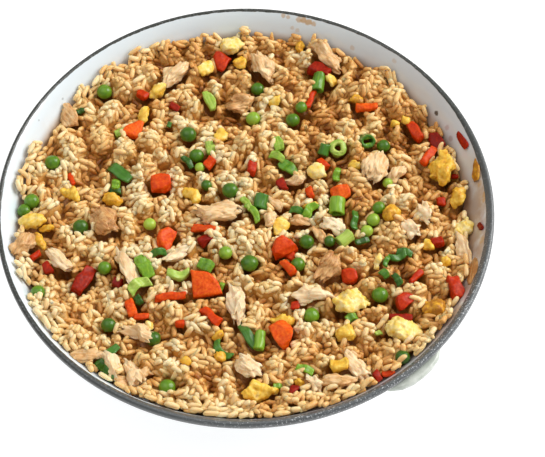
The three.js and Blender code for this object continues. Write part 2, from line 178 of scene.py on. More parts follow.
def colourRamp(tree, value, stops):
    node = tree.nodes.new("ShaderNodeValToRGB")
    elements = node.color_ramp.elements
    for index, (place, colour) in enumerate(stops):
        element = elements[index] if index < 2 else elements.new(place)
        element.position = place
        element.color = (*colour, 1)
    tree.links.new(value, node.inputs[0])
    return node.outputs[0]


def attribute(tree, name):
    return addNode(tree, "ShaderNodeAttribute", {"attribute_name": name})


def bump(tree, shader, height, strength, distance):
    node = addNode(tree, "ShaderNodeBump", None, Strength=strength, Distance=distance * mm, Height=height)
    tree.links.new(node.outputs[0], shader.inputs["Normal"])


# the pan: a spun shell with a rolled rim
pan = {
    "rim": 130.0,
    "height": 52.0,
    "slope": math.radians(60),
    "corner": 20.0,
    "sheet": 1.6,
    "beadWidth": 2.8,
    "beadHeight": 4.6,
    "turns": 160,
    "white": (0.74, 0.83, 0.89),
    "dark": (0.022, 0.026, 0.021),
    # the rim towards +X -Y, greyer as a painted reflection
    "darkFrontReflection": (0.085, 0.095, 0.10),
}
wallTop = pan["rim"] - pan["beadWidth"] + pan["sheet"] / math.sin(pan["slope"])
baseRadius = (
    wallTop
    - (pan["height"] - pan["corner"] * (1 - math.cos(pan["slope"]))) / math.tan(pan["slope"])
    - pan["corner"] * math.sin(pan["slope"])
)


def insideRadius(height, layer=None):
    layer = pan["sheet"] if layer is None else layer
    cornerTop = pan["corner"] - (pan["corner"] - layer) * math.cos(pan["slope"])
    if height >= cornerTop:
        return wallTop - (pan["height"] - height) / math.tan(pan["slope"]) - layer / math.sin(pan["slope"])
    radius = pan["corner"] - layer
    return baseRadius + math.sqrt(max(radius ** 2 - (pan["corner"] - height) ** 2, 0))


def wallCorner(layer, steps):
    radius = pan["corner"] - layer
    for step in range(steps + 1):
        angle = -math.pi / 2 + pan["slope"] * step / steps
        yield baseRadius + radius * math.cos(angle), pan["corner"] + radius * math.sin(angle)


def panProfile():
    top, rim = pan["height"], pan["rim"]
    foot = top - pan["beadHeight"]
    outer = [(0, 0), (baseRadius * 0.5, 0)] + list(wallCorner(0, 8))
    outer += [(insideRadius(z, 0), z) for z in (20, 30, 40, foot - 1)]
    bead = [(insideRadius(foot + 0.2, 0), foot + 0.2), (rim - 0.9, foot + 0.05), (rim - 0.3, foot + 0.5)]
    bead += [(rim, foot + 1.3), (rim, top - 1.5), (rim - 0.3, top - 0.7), (rim - 0.9, top - 0.15)]
    bead += [(rim - 1.5, top), (rim - 2.1, top - 0.2), (rim - 2.6, top - 0.8)]
    inner = [(insideRadius(z), z) for z in (top - 2, 45, 38, 30, 20)]
    inner += list(wallCorner(pan["sheet"], 8))[::-1] + [(baseRadius * 0.5, pan["sheet"]), (0, pan["sheet"])]
    return outer + bead + inner


def fullSpin(shape, profile, turns):
    bmesh.ops.spin(
        shape, geom=profile, cent=(0, 0, 0), axis=(0, 0, 1), angle=2 * math.pi, steps=turns, use_merge=True
    )


def spunMesh(name, profile, turns):
    shape = bmesh.new()
    points = [shape.verts.new((r * mm, 0, z * mm)) for r, z in profile]
    edges = [shape.edges.new(pair) for pair in zip(points, points[1:])]
    fullSpin(shape, points + edges, turns)
    bmesh.ops.remove_doubles(shape, verts=shape.verts, dist=1e-6)
    bmesh.ops.recalc_face_normals(shape, faces=shape.faces)
    mesh = bpy.data.meshes.new(name)
    shape.to_mesh(mesh)
    shape.free()
    shadeSmooth(mesh)
    return mesh


# marks on the inner wall: azimuth in degrees, height and width in mm, strength, colour
stains = [
    (81.5, 51.0, 2.0, 0.55, "warm"),
    (80.2, 50.6, 1.8, 0.50, "warm"),
    (77.4, 50.0, 2.4, 0.60, "warm"),
    (76.2, 50.3, 2.6, 0.75, "warm"),
    (74.8, 49.8, 2.8, 0.75, "warm"),
    (73.4, 49.6, 2.2, 0.60, "warm"),
    (78.8, 45.2, 1.8, 0.35, "warm"),
    (77.4, 44.6, 1.8, 0.35, "warm"),
    (62, 44.0, 2.0, 0.35, "warm"),
    (50, 48.5, 2.0, 0.30, "warm"),
    (32.2, 42.5, 2.0, 0.95, "grey"),
    (27, 42.5, 2.6, 0.35, "red"),
    (24, 41.0, 2.2, 0.40, "red"),
    (7, 47.5, 2.6, 0.40, "warm"),
    (3.4, 49.2, 2.6, 0.60, "warm"),
    (2.0, 48.4, 2.2, 0.60, "warm"),
    (-9, 47.0, 3.0, 0.40, "warm"),
    (145.5, 45.0, 1.0, 0.35, "grey"),
    (154.8, 47.7, 0.9, 0.35, "grey"),
]
stainColours = {"warm": (0.55, 0.29, 0.06), "red": (0.36, 0.15, 0.10), "grey": (0.07, 0.055, 0.045)}


def stainedWhite(tree, place, inner, white):
    # blots with ragged edges at their places on the wall
    grain = addNode(tree, "ShaderNodeTexNoise", None, Vector=place, Scale=360.0, Detail=5.0)
    ragged = grain.outputs["Color"]
    for azimuth, height, width, strength, kind in stains:
        reach = width * mm
        hit = Matrix.Rotation(math.radians(azimuth), 3, "Z") @ Vector((insideRadius(height), 0, height))
        centre = hit * mm + Vector((0.55, 0.55, 0.55)) * reach
        offset = vectorMath(tree, "SCALE", i0=ragged, Scale=1.1 * reach)
        shaken = vectorMath(tree, "ADD", i0=place, i1=offset)
        apart = vectorMath(tree, "DISTANCE", "Value", i0=shaken, i1=tuple(centre))
        blot = product(tree, ramp(tree, apart, 0.9 * reach, 0.45 * reach), strength, inner)
        white = mixColour(tree, blot, white, stainColours[kind])
    return white


def enamelMaterial():
    material, tree, shader = newMaterial("enamel")
    place = objectPlace(tree)
    height = addNode(tree, "ShaderNodeSeparateXYZ", None, Vector=place).outputs[2]
    level = vectorMath(tree, "MULTIPLY", i0=place, i1=(1, 1, 0))
    radius = vectorMath(tree, "LENGTH", "Value", i0=level)
    wander = centred(tree, noiseAt(tree, place, 5), 0.7 * mm)
    # the dark rim: worn; towards +X -Y greyer as a painted reflection, chipped with light specks that are
    # partly painted glints, and broader
    side = vectorMath(tree, "DOT_PRODUCT", "Value", i0=place, i1=(0.62, -0.78, 0))
    broad = product(tree, ramp(tree, side, -0.03, 0.10), 1.9 * mm)
    edge = math2(tree, "ADD", math2(tree, "ADD", radius, wander), broad)
    upward = ramp(tree, math2(tree, "ADD", height, wander), 0.0466, 0.0470)
    rim = product(tree, ramp(tree, edge, 0.1274, 0.1276), upward)
    # the inner face of the wall, above its corner
    slant = math2(tree, "SUBTRACT", radius, product(tree, height, 1 / math.tan(pan["slope"])))
    middle = (insideRadius(40, 0.5 * pan["sheet"]) - 40 / math.tan(pan["slope"])) * mm
    facing = ramp(tree, slant, middle + 0.2 * mm, middle - 0.2 * mm)
    inner = product(tree, facing, ramp(tree, height, 0.022, 0.028))
    # oily film and stuck starch where the rice has touched the wall
    film = ramp(tree, noiseAt(tree, place, 9, 5), 0.42, 0.75)
    film = product(tree, film, inner, ramp(tree, height, 0.049, 0.037), 0.35)
    white = mixColour(tree, film, pan["white"], (0.70, 0.60, 0.47))
    # brown low on the wall: stuck starch, and painted shade where the wall shows between the grains
    stuckStarchAndShade = product(tree, ramp(tree, height, 0.043, 0.036), inner)
    white = mixColour(tree, stuckStarchAndShade, white, (0.42, 0.27, 0.13))
    # ruddy from the food and darkened as painted shade on the +X side, and browned in patches there
    rightward = vectorMath(tree, "DOT_PRODUCT", "Value", i0=place, i1=(0.978, -0.208, 0))
    # painted shade on the +X wall, tinted ruddy by the food
    ruddyShade = product(tree, ramp(tree, rightward, -0.01, 0.09), inner, 0.42)
    white = mixColour(tree, ruddyShade, white, (0.50, 0.43, 0.40))
    patches = ramp(tree, noiseAt(tree, place, 11, 5), 0.25, 0.58)
    brown = product(tree, ramp(tree, rightward, 0.106, 0.121), inner, patches, 0.72)
    white = mixColour(tree, brown, white, (0.40, 0.24, 0.13))
    white = stainedWhite(tree, place, inner, white)
    # painted reflection: the rim is greyer towards +X -Y
    dark = mixColour(tree, ramp(tree, side, -0.02, 0.10), pan["dark"], pan["darkFrontReflection"])
    scuffs = ramp(tree, noiseAt(tree, place, 1.2, 4), 0.5, 0.8)
    dark = mixColour(tree, scuffs, dark, (0.16, 0.17, 0.18))
    # light specks towards +X -Y: chips, and painted glints of the light
    chipsAndGlints = ramp(tree, noiseAt(tree, place, 0.9, 2), 0.58, 0.68)
    dark = mixColour(tree, product(tree, ramp(tree, side, 0.07, 0.12), chipsAndGlints), dark, (0.52, 0.55, 0.57))
    tree.links.new(mixColour(tree, rim, white, dark), shader.inputs["Base Color"])
    rough = math2(tree, "ADD", 0.16, product(tree, rim, 0.2))
    tree.links.new(rough, shader.inputs["Roughness"])
    shader.inputs["Coat Weight"].default_value = 0.3
    shader.inputs["Coat Roughness"].default_value = 0.12
    pits = product(tree, noiseAt(tree, place, 1.3, 3), math2(tree, "ADD", rim, 0.06))
    bump(tree, shader, pits, 0.5, 0.5)
    return material


def makePan(material):
    mesh = spunMesh("pan", panProfile(), pan["turns"])
    mesh.materials.append(material)
    linkPiece("enamelPan", mesh, ["pan"])


def lugMaterial():
    # greyer and greener than the inside: white enamel with painted shade
    material, tree, shader = newMaterial("lugShadedEnamel")
    place = objectPlace(tree)
    cloudy = ramp(tree, noiseAt(tree, place, 6, 4), 0.35, 0.7)
    # painted shade: grey-green tones in place of white enamel
    colour = mixColour(tree, cloudy, (0.50, 0.55, 0.49), (0.66, 0.70, 0.65))
    tree.links.new(colour, shader.inputs["Base Color"])
    shader.inputs["Roughness"].default_value = 0.3
    shader.inputs["Coat Weight"].default_value = 0.2
    bump(tree, shader, noiseAt(tree, place, 3, 3), 0.4, 0.4)
    return material


def makeLug(material):
    # the lug's own solid, with its corners rounded
    mesh = finishedMesh(mergedNode("lug"), "lug", [
        ("REMESH", {"mode": "VOXEL", "voxel_size": 0.7 * mm}),
        ("SMOOTH", {"factor": 0.5, "iterations": 3}),
    ])
    mesh.materials.append(material)
    linkPiece("enamelLug", mesh, ["lug"])


# ways to turn one shape into a finished mesh
def mergedNode(name):
    shape = bmesh.new()
    shape.from_mesh(cadNodes[name].data)
    bmesh.ops.remove_doubles(shape, verts=shape.verts, dist=1e-6)
    return shape


def finishedMesh(shape, name, modifiers):
    # applies modifiers and returns the mesh; the bmesh is used up
    rough = bpy.data.meshes.new(name + "Rough")
    shape.to_mesh(rough)
    shape.free()
    holder = bpy.data.objects.new(name + "Rough", rough)
    bpy.context.scene.collection.objects.link(holder)
    for kind, values in modifiers:
        modifier = holder.modifiers.new(kind.lower(), kind)
        for key, value in values.items():
            setattr(modifier, key, value)
    graph = bpy.context.evaluated_depsgraph_get()
    mesh = bpy.data.meshes.new_from_object(holder.evaluated_get(graph))
    bpy.data.objects.remove(holder)
    bpy.data.meshes.remove(rough)
    mesh.name = name
    shadeSmooth(mesh)
    return mesh


def meshPoints(mesh):
    points = np.empty(len(mesh.vertices) * 3)
    mesh.vertices.foreach_get("co", points)
    return points.reshape(-1, 3)


def meshNormals(mesh):
    normals = np.empty(len(mesh.vertices) * 3)
    mesh.vertex_normals.foreach_get("vector", normals)
    return normals.reshape(-1, 3)


def longAxes(points):
    # centre and axes of a shape, the longest first
    centre = (points.min(0) + points.max(0)) / 2
    axes = np.linalg.svd(points - centre, full_matrices=False)[2]
    for axis in axes[:2]:
        axis *= np.sign(axis[np.abs(axis).argmax()])
    axes[2] = np.cross(axes[0], axes[1])
    return centre, axes


def bumpy(local, sizes, seed):
    # one noise value for each point; sizes stretch it along the piece
    shift = Vector((seed * 7.31, seed * 3.17, seed * 1.93))
    return np.array([noise.noise(Vector(point) + shift) for point in local / np.array(sizes)])


def writeAttribute(mesh, name, kind, values):
    layer = mesh.attributes.new(name, kind, "POINT")
    field = "value" if kind == "FLOAT" else "vector"
    layer.data.foreach_set(field, np.asarray(values, dtype=np.float32).ravel())


# The finished look of each kind of topping. Voxel in mm; relief, curds and grooves as (size in mm
# along and across, height in mm); warp as (size, shift); facets is how many planes cut it; ragged is
# how unevenly its fibres end; grow and bore are added all over, or inside a ring.
kinds = {
    "pea": {
        "voxel": 0.85, "smooth": 5,
        "relief": [((3.2, 3.2, 3.2), 0.16), ((1.1, 1.1, 1.1), 0.03)],
    },
    "carrot": {
        "voxel": 0.66, "smooth": 1, "facets": 3, "grow": 0.1,
        "relief": [((4.5, 4.5, 4.5), 0.35), ((1.5, 1.5, 1.5), 0.14)],
        "warp": [(5.0, 0.6)],
    },
    "chicken": {
        "voxel": 0.62, "smooth": 3, "facets": 12, "ragged": 0.5, "grow": 0.7,
        "relief": [((6.0, 3.0, 3.0), 0.4), ((11.0, 1.1, 1.1), 0.30)],
        "grooves": ((14.0, 2.4, 2.4), 0.8),
        "warp": [(9.0, 2.8), (4.0, 1.0)],
    },
    "egg": {
        "voxel": 0.66, "smooth": 3,
        "relief": [((4.0, 4.0, 4.0), 0.8), ((0.9, 0.9, 0.9), 0.12)],
        "curds": [((3.0, 3.0, 3.0), 1.6), ((1.5, 1.5, 1.5), 1.0)],
        "warp": [(6.0, 2.6)],
    },
    "springOnion": {
        "voxel": 0.48, "smooth": 2, "grow": 0.15,
        "relief": [((7.0, 1.0, 1.0), 0.10), ((3.0, 3.0, 3.0), 0.12)],
        "warp": [(5.0, 0.6)],
    },
    "ring": {
        "voxel": 0.48, "smooth": 2, "bore": 1.3,
        "relief": [((3.0, 3.0, 3.0), 0.15)],
        "warp": [(5.0, 0.8)],
    },
    "flake": {
        "voxel": 0.5, "smooth": 2, "facets": 4,
        "relief": [((5.0, 3.0, 3.0), 0.15)],
        "warp": [(7.0, 1.2)],
    },
}


def warped(places, seed):
    # a smooth field of shifts that bends a shape out of true
    shift = Vector((seed * 5.7, seed * 2.3, seed * 9.1))
    return np.array([noise.noise_vector(Vector(place) + shift)[:] for place in places])


def facetted(local, count, draw):
    # flattens what stands out past planes turned at random
    for _ in range(count):
        direction = np.array([draw.gauss(0, 0.5), draw.gauss(0, 1), draw.gauss(0, 1)])
        direction /= np.linalg.norm(direction)
        reach = local @ direction
        limit = reach.max() * draw.uniform(0.62, 0.9)
        local = local - np.clip(reach - limit, 0, None)[:, None] * direction
    return local


def dressedMesh(shape, finish, seed, tint):
    # voxel skin, smoothing, planes, bends, relief along the normals, and the attributes the materials read
    look = kinds[finish]
    mesh = finishedMesh(shape, finish, [
        ("REMESH", {"mode": "VOXEL", "voxel_size": look["voxel"] * mm}),
        ("SMOOTH", {"factor": 0.5, "iterations": look["smooth"]}),
    ])
    points = meshPoints(mesh)
    centre, axes = longAxes(points)
    local = (points - centre) @ axes.T / mm
    local = facetted(local, look.get("facets", 0), random.Random(seed))
    if "ragged" in look:
        # the fibres end at different places
        local[:, 0] *= 1 + look["ragged"] * bumpy(local, (200, 1.7, 1.7), seed + 0.9)
    for size, amount in look.get("warp", ()):
        local = local + warped(local / size, seed) * amount
    points = centre + local @ axes * mm
    push = sum(
        bumpy(local, size, seed + 0.37 * step) * height
        for step, (size, height) in enumerate(look["relief"])
    )
    if "grooves" in look:
        size, depth = look["grooves"]
        torn = 1 + 1.5 * smooth(np.abs(local[:, 0]) / np.abs(local[:, 0]).max() * 2 - 1)
        push = push - depth * torn * np.exp(-(bumpy(local, size, seed + 0.7) / 0.13) ** 2)
    for size, height in look.get("curds", ()):
        push = push + height * np.abs(bumpy(local, size, seed + 0.5))
    push = push + look.get("grow", 0.0)
    normals = meshNormals(mesh)
    tints = np.full(len(points), tint)
    if "bore" in look:
        # the inside of a ring is thicker and paler
        inward = -(((points - centre) @ axes[:2].T) * (normals @ axes[:2].T)).sum(1)
        inward = smooth(inward / np.abs(inward).max() * 3)
        push = push + look["bore"] * inward
        tints = tints + 0.3 * inward
    points = points + normals * (push * mm)[:, None]
    mesh.vertices.foreach_set("co", points.ravel())
    mesh.update()
    writeAttribute(mesh, "tint", "FLOAT", tints)
    writeAttribute(mesh, "local", "FLOAT_VECTOR", local)
    return mesh


# Starting shapes of the toppings that the CAD model leaves out: at the origin, long axis along X.
def ballShape(size):
    shape = bmesh.new()
    bmesh.ops.create_icosphere(shape, subdivisions=3, radius=0.5)
    bmesh.ops.scale(shape, vec=Vector(size) * mm, verts=shape.verts)
    return shape


def blockShape(size, draw):
    shape = bmesh.new()
    bmesh.ops.create_cube(shape, size=1)
    for corner in shape.verts:
        corner.co += Vector([draw.uniform(-most, most) for most in (0.12, 0.12, 0.08)])
    bmesh.ops.scale(shape, vec=Vector(size) * mm, verts=shape.verts)
    return shape


def stripShape(size, bend, steps=14):
    # a bar with a bend across and a little wave up and down
    length, width, height = size
    shape = bmesh.new()
    bmesh.ops.create_cube(shape, size=1)
    bmesh.ops.scale(shape, vec=Vector(size) * mm, verts=shape.verts)
    for step in range(1, steps):
        place = (step / steps - 0.5) * length * mm
        everything = shape.verts[:] + shape.edges[:] + shape.faces[:]
        bmesh.ops.bisect_plane(shape, geom=everything, plane_co=(place, 0, 0), plane_no=(1, 0, 0))
    for corner in shape.verts:
        along = corner.co.x / (length * mm)
        corner.co.y *= 1 - 1.6 * along ** 4
        corner.co.y += bend * mm * (0.25 - along ** 2) * 4
        corner.co.z += 0.16 * width * mm * math.sin(9 * along + bend)
    return shape


def tubeShape(size):
    across, length, wall = size
    shape = bmesh.new()
    outer, inner = across / 2 * mm, (across / 2 - wall) * mm
    half = length / 2 * mm
    corners = [(inner, -half), (outer, -half), (outer, half), (inner, half)]
    points = [shape.verts.new((r, 0, z)) for r, z in corners]
    edges = [shape.edges.new((points[i], points[(i + 1) % 4])) for i in range(4)]
    fullSpin(shape, points + edges, 24)
    bmesh.ops.remove_doubles(shape, verts=shape.verts, dist=1e-7)
    bmesh.ops.recalc_face_normals(shape, faces=shape.faces)
    return shape


readingLevel = 44.0  # the places were read off the photograph on a level plane this high

# small toppings: x, y, size or (length, width, height), heading in degrees, tint from dark to light
small = {
    "pea": [
        (-118, -3.5, 7.5, 0.45), (-21, 14, 6.5, 0.3), (5, 78, 8, 0.35), (29, 66, 7, 0.5),
        (75, 17, 6, 0.9), (70, 1, 7.5, 0.5), (67, -6.5, 7.5, 0.8), (44, -20, 6.5, 0.25),
        (27.5, -34.5, 8, 0.45), (-10, -28, 7.6, 0.75), (-72, -38, 7.6, 0.55), (-45, -79, 8.2, 0.3),
        (-105, -53, 8, 0.5), (80, -88, 8, 0.2), (63.5, -13.5, 7, 0.95), (-50, -11, 7.2, 0.95),
        (-25, 25.5, 6, 0.9),
    ],
    "carrot": [
        (34, 71, (12, 3.4, 3), 75, 0.5), (65, 66, (10, 4, 4), 5, 0.8), (-58, 73, (6, 4.5, 4), -40, 0.5),
        (-40, 65, (7, 4, 4), -30, 0.15), (-20, 28, (7, 4.5, 4), 60, 0.6), (3, 25, (7.5, 4, 4), 80, 0.35),
        (19, 14, (8, 4.5, 4), -60, 0.1), (34, 10, (7, 4, 3), -70, 0.7), (41, 28, (6, 4, 4), -50, 0.6),
        (102, 44, (10, 6, 4), -65, 0.0), (103, 5, (5, 4, 4), 0, 0.4), (100, -20, (6, 4.5, 4), 20, 0.2),
        (-21, -13.5, (13, 4, 4), -8, 0.75), (-21, -20.5, (6, 5, 4), 50, 0.05),
        (22.5, -28, (9, 6, 5), -40, 0.6), (23, -37, (10, 4, 4), -50, 0.75),
        (-101, -39, (6, 4.5, 4), -60, 0.2), (-93, 17, (8, 2.6, 2.5), -65, 0.6),
        (-38, -55, (16, 3.6, 3.6), 10, 0.7), (-57, -62, (10, 4.6, 4), -70, 0.75),
        (-52, -66.5, (8, 3.4, 3), 0, 0.7), (-16, -66, (12, 4.6, 4), -45, 0.6),
        (-32, -70, (4, 3, 3), 0, 0.6), (26, -59, (4.5, 4, 4), 0, 0.4), (88, -41, (9, 3, 3), 45, 0.4),
        (108.5, -48, (13, 6, 5), -75, 0.4), (79, -65, (12, 3.4, 3), 0, 0.15),
        (67, -99, (5, 3.4, 3), -50, 0.2), (73, -97, (7, 2.4, 2.4), 10, 0.6),
        (26, -107, (5.5, 4, 4), 60, 0.05), (-65, -47, (5, 5, 4), -30, 0.0),
        (-108, -31, (6, 3, 3), 40, 0.4), (111, 22, (4, 2.4, 2), 0, 0.3),
    ],
    "egg": [
        (-5, 96, (8, 5, 4), 80, 0.35), (-23.5, 91, (8, 5.5, 5), 40, 0.6),
        (29.5, 107, (9, 4.5, 4), 80, 0.2), (-56, 60, (8, 6, 5), 75, 0.5),
        (-49.5, 75, (9, 5.5, 5), 55, 0.55), (59, 71.5, (8, 4.6, 4.5), 10, 0.15),
        (79.5, 55, (5, 4, 4), 0, 0.4), (85, 57.5, (5.4, 4.4, 4), 0, 0.5), (44.5, 84, (6, 4, 4), 70, 0.5),
        (15, 70, (5.5, 4.6, 4), 0, 0.5), (-13.5, 46, (6.5, 4.5, 4), 40, 0.55),
        (112, 8, (10, 7.5, 6), 60, 0.35), (114.5, -11.5, (12, 8, 6), 50, 0.75),
        (-111, -11, (12, 7, 5), -10, 0.6), (-92, 8, (13, 5, 4), -30, 0.45), (-71, 4.5, (9, 7, 5), 0, 0.3),
        (19, -11.5, (10, 6.5, 5), 60, 0.55), (96.5, -60, (11, 7.5, 6), 10, 0.1),
        (48, -93, (10, 6.5, 5), 15, 0.4), (51, -75, (9, 6, 5), 20, 0.5), (-11, -89, (5, 4.6, 4), 0, 0.3),
        (-47.5, -73.5, (9, 4.4, 4), 70, 0.8), (19.5, -68.5, (11, 4.6, 4.5), -10, 0.4),
        (77, -3, (9, 7.5, 6), 0, 0.2), (-27, -93, (4, 3.4, 3), 0, 0.35), (-103, -16, (6, 5, 4), 0, 0.3),
        (103.5, -32, (5, 4, 4), 0, 0.4), (96, -22, (6, 4.5, 4), 60, 0.35), (69, -32, (7, 3, 4), 80, 0.8),
        (-107, -22, (11, 3.4, 3.6), -72, 0.3), (-29, 7, (9, 6, 5), -40, 0.45),
        (34, 1.5, (7, 5, 4), 0, 0.4), (58, 28, (6.5, 4, 4), -45, 0.45), (38, 23, (9, 7, 5), 10, 0.75),
        (-12, -77, (6, 4.4, 4), 0, 0.3), (28, -103, (6, 3.6, 3.6), 60, 0.3),
    ],
    "chicken": [
        (26, 17.5, (14, 5.4, 5), 10, 0.6), (14.5, 2, (13, 5.5, 5), -50, 0.5),
        (79.5, 22, (13, 10, 7), 70, 0.6), (87.5, -13, (15, 9.5, 6), -55, 0.85),
        (45.5, -11, (16, 9, 5), -35, 0.95), (-36.5, -29.5, (15, 7.5, 6), 25, 0.9),
        (34.5, -53, (19, 11, 5), -5, 0.75), (36, -104, (14, 10, 6), -60, 0.85),
        (48.5, -102, (17, 10, 5), 5, 0.35), (-53.5, -75, (19, 9, 6), -20, 0.6),
        (-77, -90, (21, 8, 5), 5, 0.4), (-64, -96, (15, 8.5, 7), -70, 0.75),
        (113.5, -25, (23, 7, 5), -72, 0.6), (-97, 56.5, (15, 9, 7), -50, 0.35),
        (-117.5, -25, (17, 11, 7), 70, 0.3), (43.5, -36.5, (15, 12, 8), 60, 0.15),
        (-73, -10.5, (19, 14, 9), -40, 0.15), (39, -17, (11, 4.6, 5), -55, 0.3),
        (29, -8, (12, 4.6, 5), -25, 0.4), (-49, -99, (11, 5, 5), 10, 0.4), (92, -3, (9, 6, 4), 60, 0.9),
        (12, -8, (9, 6, 5), 40, 0.6), (-60, -103, (9, 5, 4), -20, 0.4),
    ],
}
# spring onion leaves: place, (length, width, thickness), bend, heading, roll, tint
strips = [
    (-68, 46.5, (7, 4, 2.6), 0.5, 20, 0, 0.8), (-69, 13, (6, 4, 3), 0, 80, 0, 0.6),
    (-69, 9, (6, 3, 2), 1, 0, 20, 0.1), (35, -3, (11, 5, 1.4), 3, 60, 40, 0.6),
    (27, -3.5, (9, 4, 1.4), 2, -30, 30, 0.35), (3, -4, (12, 3.4, 1.6), 2, -55, 20, 0.65),
    (57.5, -7, (11, 3.6, 1.6), 0.5, 85, 30, 0.3), (79, -27.5, (9, 4, 1.4), -2, 20, 20, 0.3),
    (82.5, -27, (8, 3.4, 1.4), 1, -15, 20, 0.2), (74, -32, (7, 2.8, 1.4), 1, 70, 20, 0.4),
    (-44.5, -29.5, (8, 4, 1.4), 1.5, 10, 35, 0.3), (-53, -49.5, (12, 5.5, 1.6), 2.5, 35, 20, 0.85),
    (-53.5, -57, (5, 3.6, 1.6), 0, -60, 30, 0.1), (-34, -40.5, (11, 4.4, 3.2), -2.5, 3, 0, 0.85),
    (-20, -36, (8, 6, 1.6), 0.5, -20, 20, 0.5), (-68.5, -99, (11, 5, 1.6), 1.5, -50, 40, 0.15),
    (-9, -84, (13, 3.8, 1.5), -3, -50, 20, 0.35), (31, -96, (9, 3.6, 2), 1, -20, 10, 0.6),
    (68, -74.5, (4, 2.6, 1.6), 0, 20, 0, 0.85), (-42.5, 53, (3.6, 2.4, 1.6), 0, 60, 0, 0.2),
    (16.5, 40.5, (7.5, 5, 3.4), 0.5, -75, 10, 0.75), (16, 32, (8, 4, 1.6), 1.5, -25, 30, 0.75),
    (61, -20, (8, 3, 1.6), 0, 20, 10, 0.1), (78, -43, (7, 3.4, 1.6), 1, -60, 30, 0.15),
    (71.5, -40, (5, 3.6, 1.6), 1, -50, 20, 0.4), (17.5, -105, (4, 2.4, 1.6), 0, 0, 0, 0.6),
    (48.5, 21.5, (8, 3.6, 2), 0.5, 80, 10, 0.6), (-20, 37.5, (7, 4.5, 3), 0.5, -75, 0, 0.85),
    (55, -66, (6, 4, 2), 1, 30, 10, 0.5), (0, 2, (9, 3, 2), 1, -60, 10, 0.8),
    (-12, -49, (5, 2.6, 2), 0, 60, 0, 0.6), (-91, 61, (4.5, 2.6, 1.6), 0, 20, 0, 0.1),
    (-32, 28, (8, 3, 1.6), 1, -50, 0, 0.1),
]
# spring onion tubes: place, (across, length, wall), heading and how far they lie over, tint
tubes = [
    (38.5, 82.5, (6.6, 11, 1.3), 80, 82, 0.45), (8, 3.5, (7, 8, 1.4), 80, 70, 0.3),
    (48, 1, (8, 9, 1.5), 85, 78, 0.65), (52, -19, (7, 8, 1.4), 40, 80, 0.85),
    (8.5, -79.5, (5, 10, 1.2), 85, 85, 0.65), (-52, -36.5, (6, 8, 1.2), 110, 80, 0.6),
    (41.5, 37.5, (6, 6, 1.3), 70, 60, 0.3),
]


def sightLine(x, y):
    eye = Vector(view["eye"])
    return eye, (Vector((x, y, readingLevel)) - eye).normalized()


def placedMatrix(spot, heading, roll, pitch=0.0):
    turn = Euler((math.radians(roll), math.radians(-pitch), math.radians(heading)), "XYZ")
    return Matrix.Translation(spot * mm) @ turn.to_matrix().to_4x4()


def clearOfWall(spot, reach):
    # slides a place inwards until a piece of this reach is clear of the pan
    far = math.hypot(spot.x, spot.y)
    most = insideRadius(spot.z) - reach
    if far > most:
        spot.x *= most / far
        spot.y *= most / far
    return spot


def onHeap(carrier, x, y, lift, reach):
    hit = carrier.ray_cast(*sightLine(x, y))[0]
    spot = Vector((x, y, 38)) if hit is None else Vector(hit)
    spot.z += lift
    return clearOfWall(spot, reach)


# flakes stuck to the wall: azimuth, height, kind, (length round it, width up it, thickness), turn, tint
flakes = [
    (20.5, 47.0, "carrot", (17.0, 5.6, 1.5), 5, 0.25),
    (10.5, 48.0, "egg", (16.0, 7.0, 1.4), -15, 0.1),
    (-5.0, 46.4, "carrot", (8.0, 5.0, 1.4), 35, 0.0),
    (-18.0, 46.0, "chicken", (20.0, 9.0, 1.6), 12, 0.05),
]


def moved(shape, matrix):
    bmesh.ops.transform(shape, matrix=matrix, verts=shape.verts)
    return shape


def wallShapes():
    slope = math.radians(90) - pan["slope"]
    for azimuth, height, kind, size, turn, tint in flakes:
        inward = insideRadius(height) - size[2] * 0.45
        lean = Matrix.Rotation(math.radians(azimuth), 4, "Z")
        lean = lean @ Matrix.Translation(Vector((inward, 0, height)) * mm)
        lean = lean @ Matrix.Rotation(slope, 4, "Y") @ Matrix.Rotation(math.radians(-90), 4, "Y")
        yield kind, moved(ballShape(size), lean @ Matrix.Rotation(math.radians(90 + turn), 4, "Z")), tint


liftShares = {"carrot": 0.3, "egg": 0.3, "chicken": 0.32}  # how far they stand out, of their height


def smallShapes(carrier, draw):
    # yields (kind, shape placed on the heap, tint) for every small topping
    for x, y, size, tint in small["pea"]:
        spot = onHeap(carrier, x, y, 0.12 * size, size / 2 + 0.4)
        matrix = placedMatrix(spot, draw.uniform(0, 360), draw.uniform(-20, 20))
        yield "pea", moved(ballShape((size, size * 0.97, size * 0.92)), matrix), tint
    for kind, share in liftShares.items():
        for x, y, size, heading, tint in small[kind]:
            shape = blockShape(size, draw) if kind == "carrot" else ballShape(size)
            spot = onHeap(carrier, x, y, share * size[2], size[1] / 2 + 0.8)
            matrix = placedMatrix(spot, heading, draw.uniform(-14, 22), draw.uniform(-8, 8))
            yield kind, moved(shape, matrix), tint
    for x, y, size, bend, heading, roll, tint in strips:
        spot = onHeap(carrier, x, y, 0.8 + 0.3 * size[2], size[1] / 2 + 0.8)
        matrix = placedMatrix(spot, heading, roll, draw.uniform(-10, 10))
        yield "springOnion", moved(stripShape(size, bend), matrix), tint
    for x, y, size, heading, over, tint in tubes:
        spot = onHeap(carrier, x, y, 0.25 * size[0], size[0] / 2 + 0.8)
        matrix = placedMatrix(spot, heading, 0) @ Matrix.Rotation(math.radians(over), 4, "Y")
        yield "springOnion", moved(tubeShape(size), matrix), tint


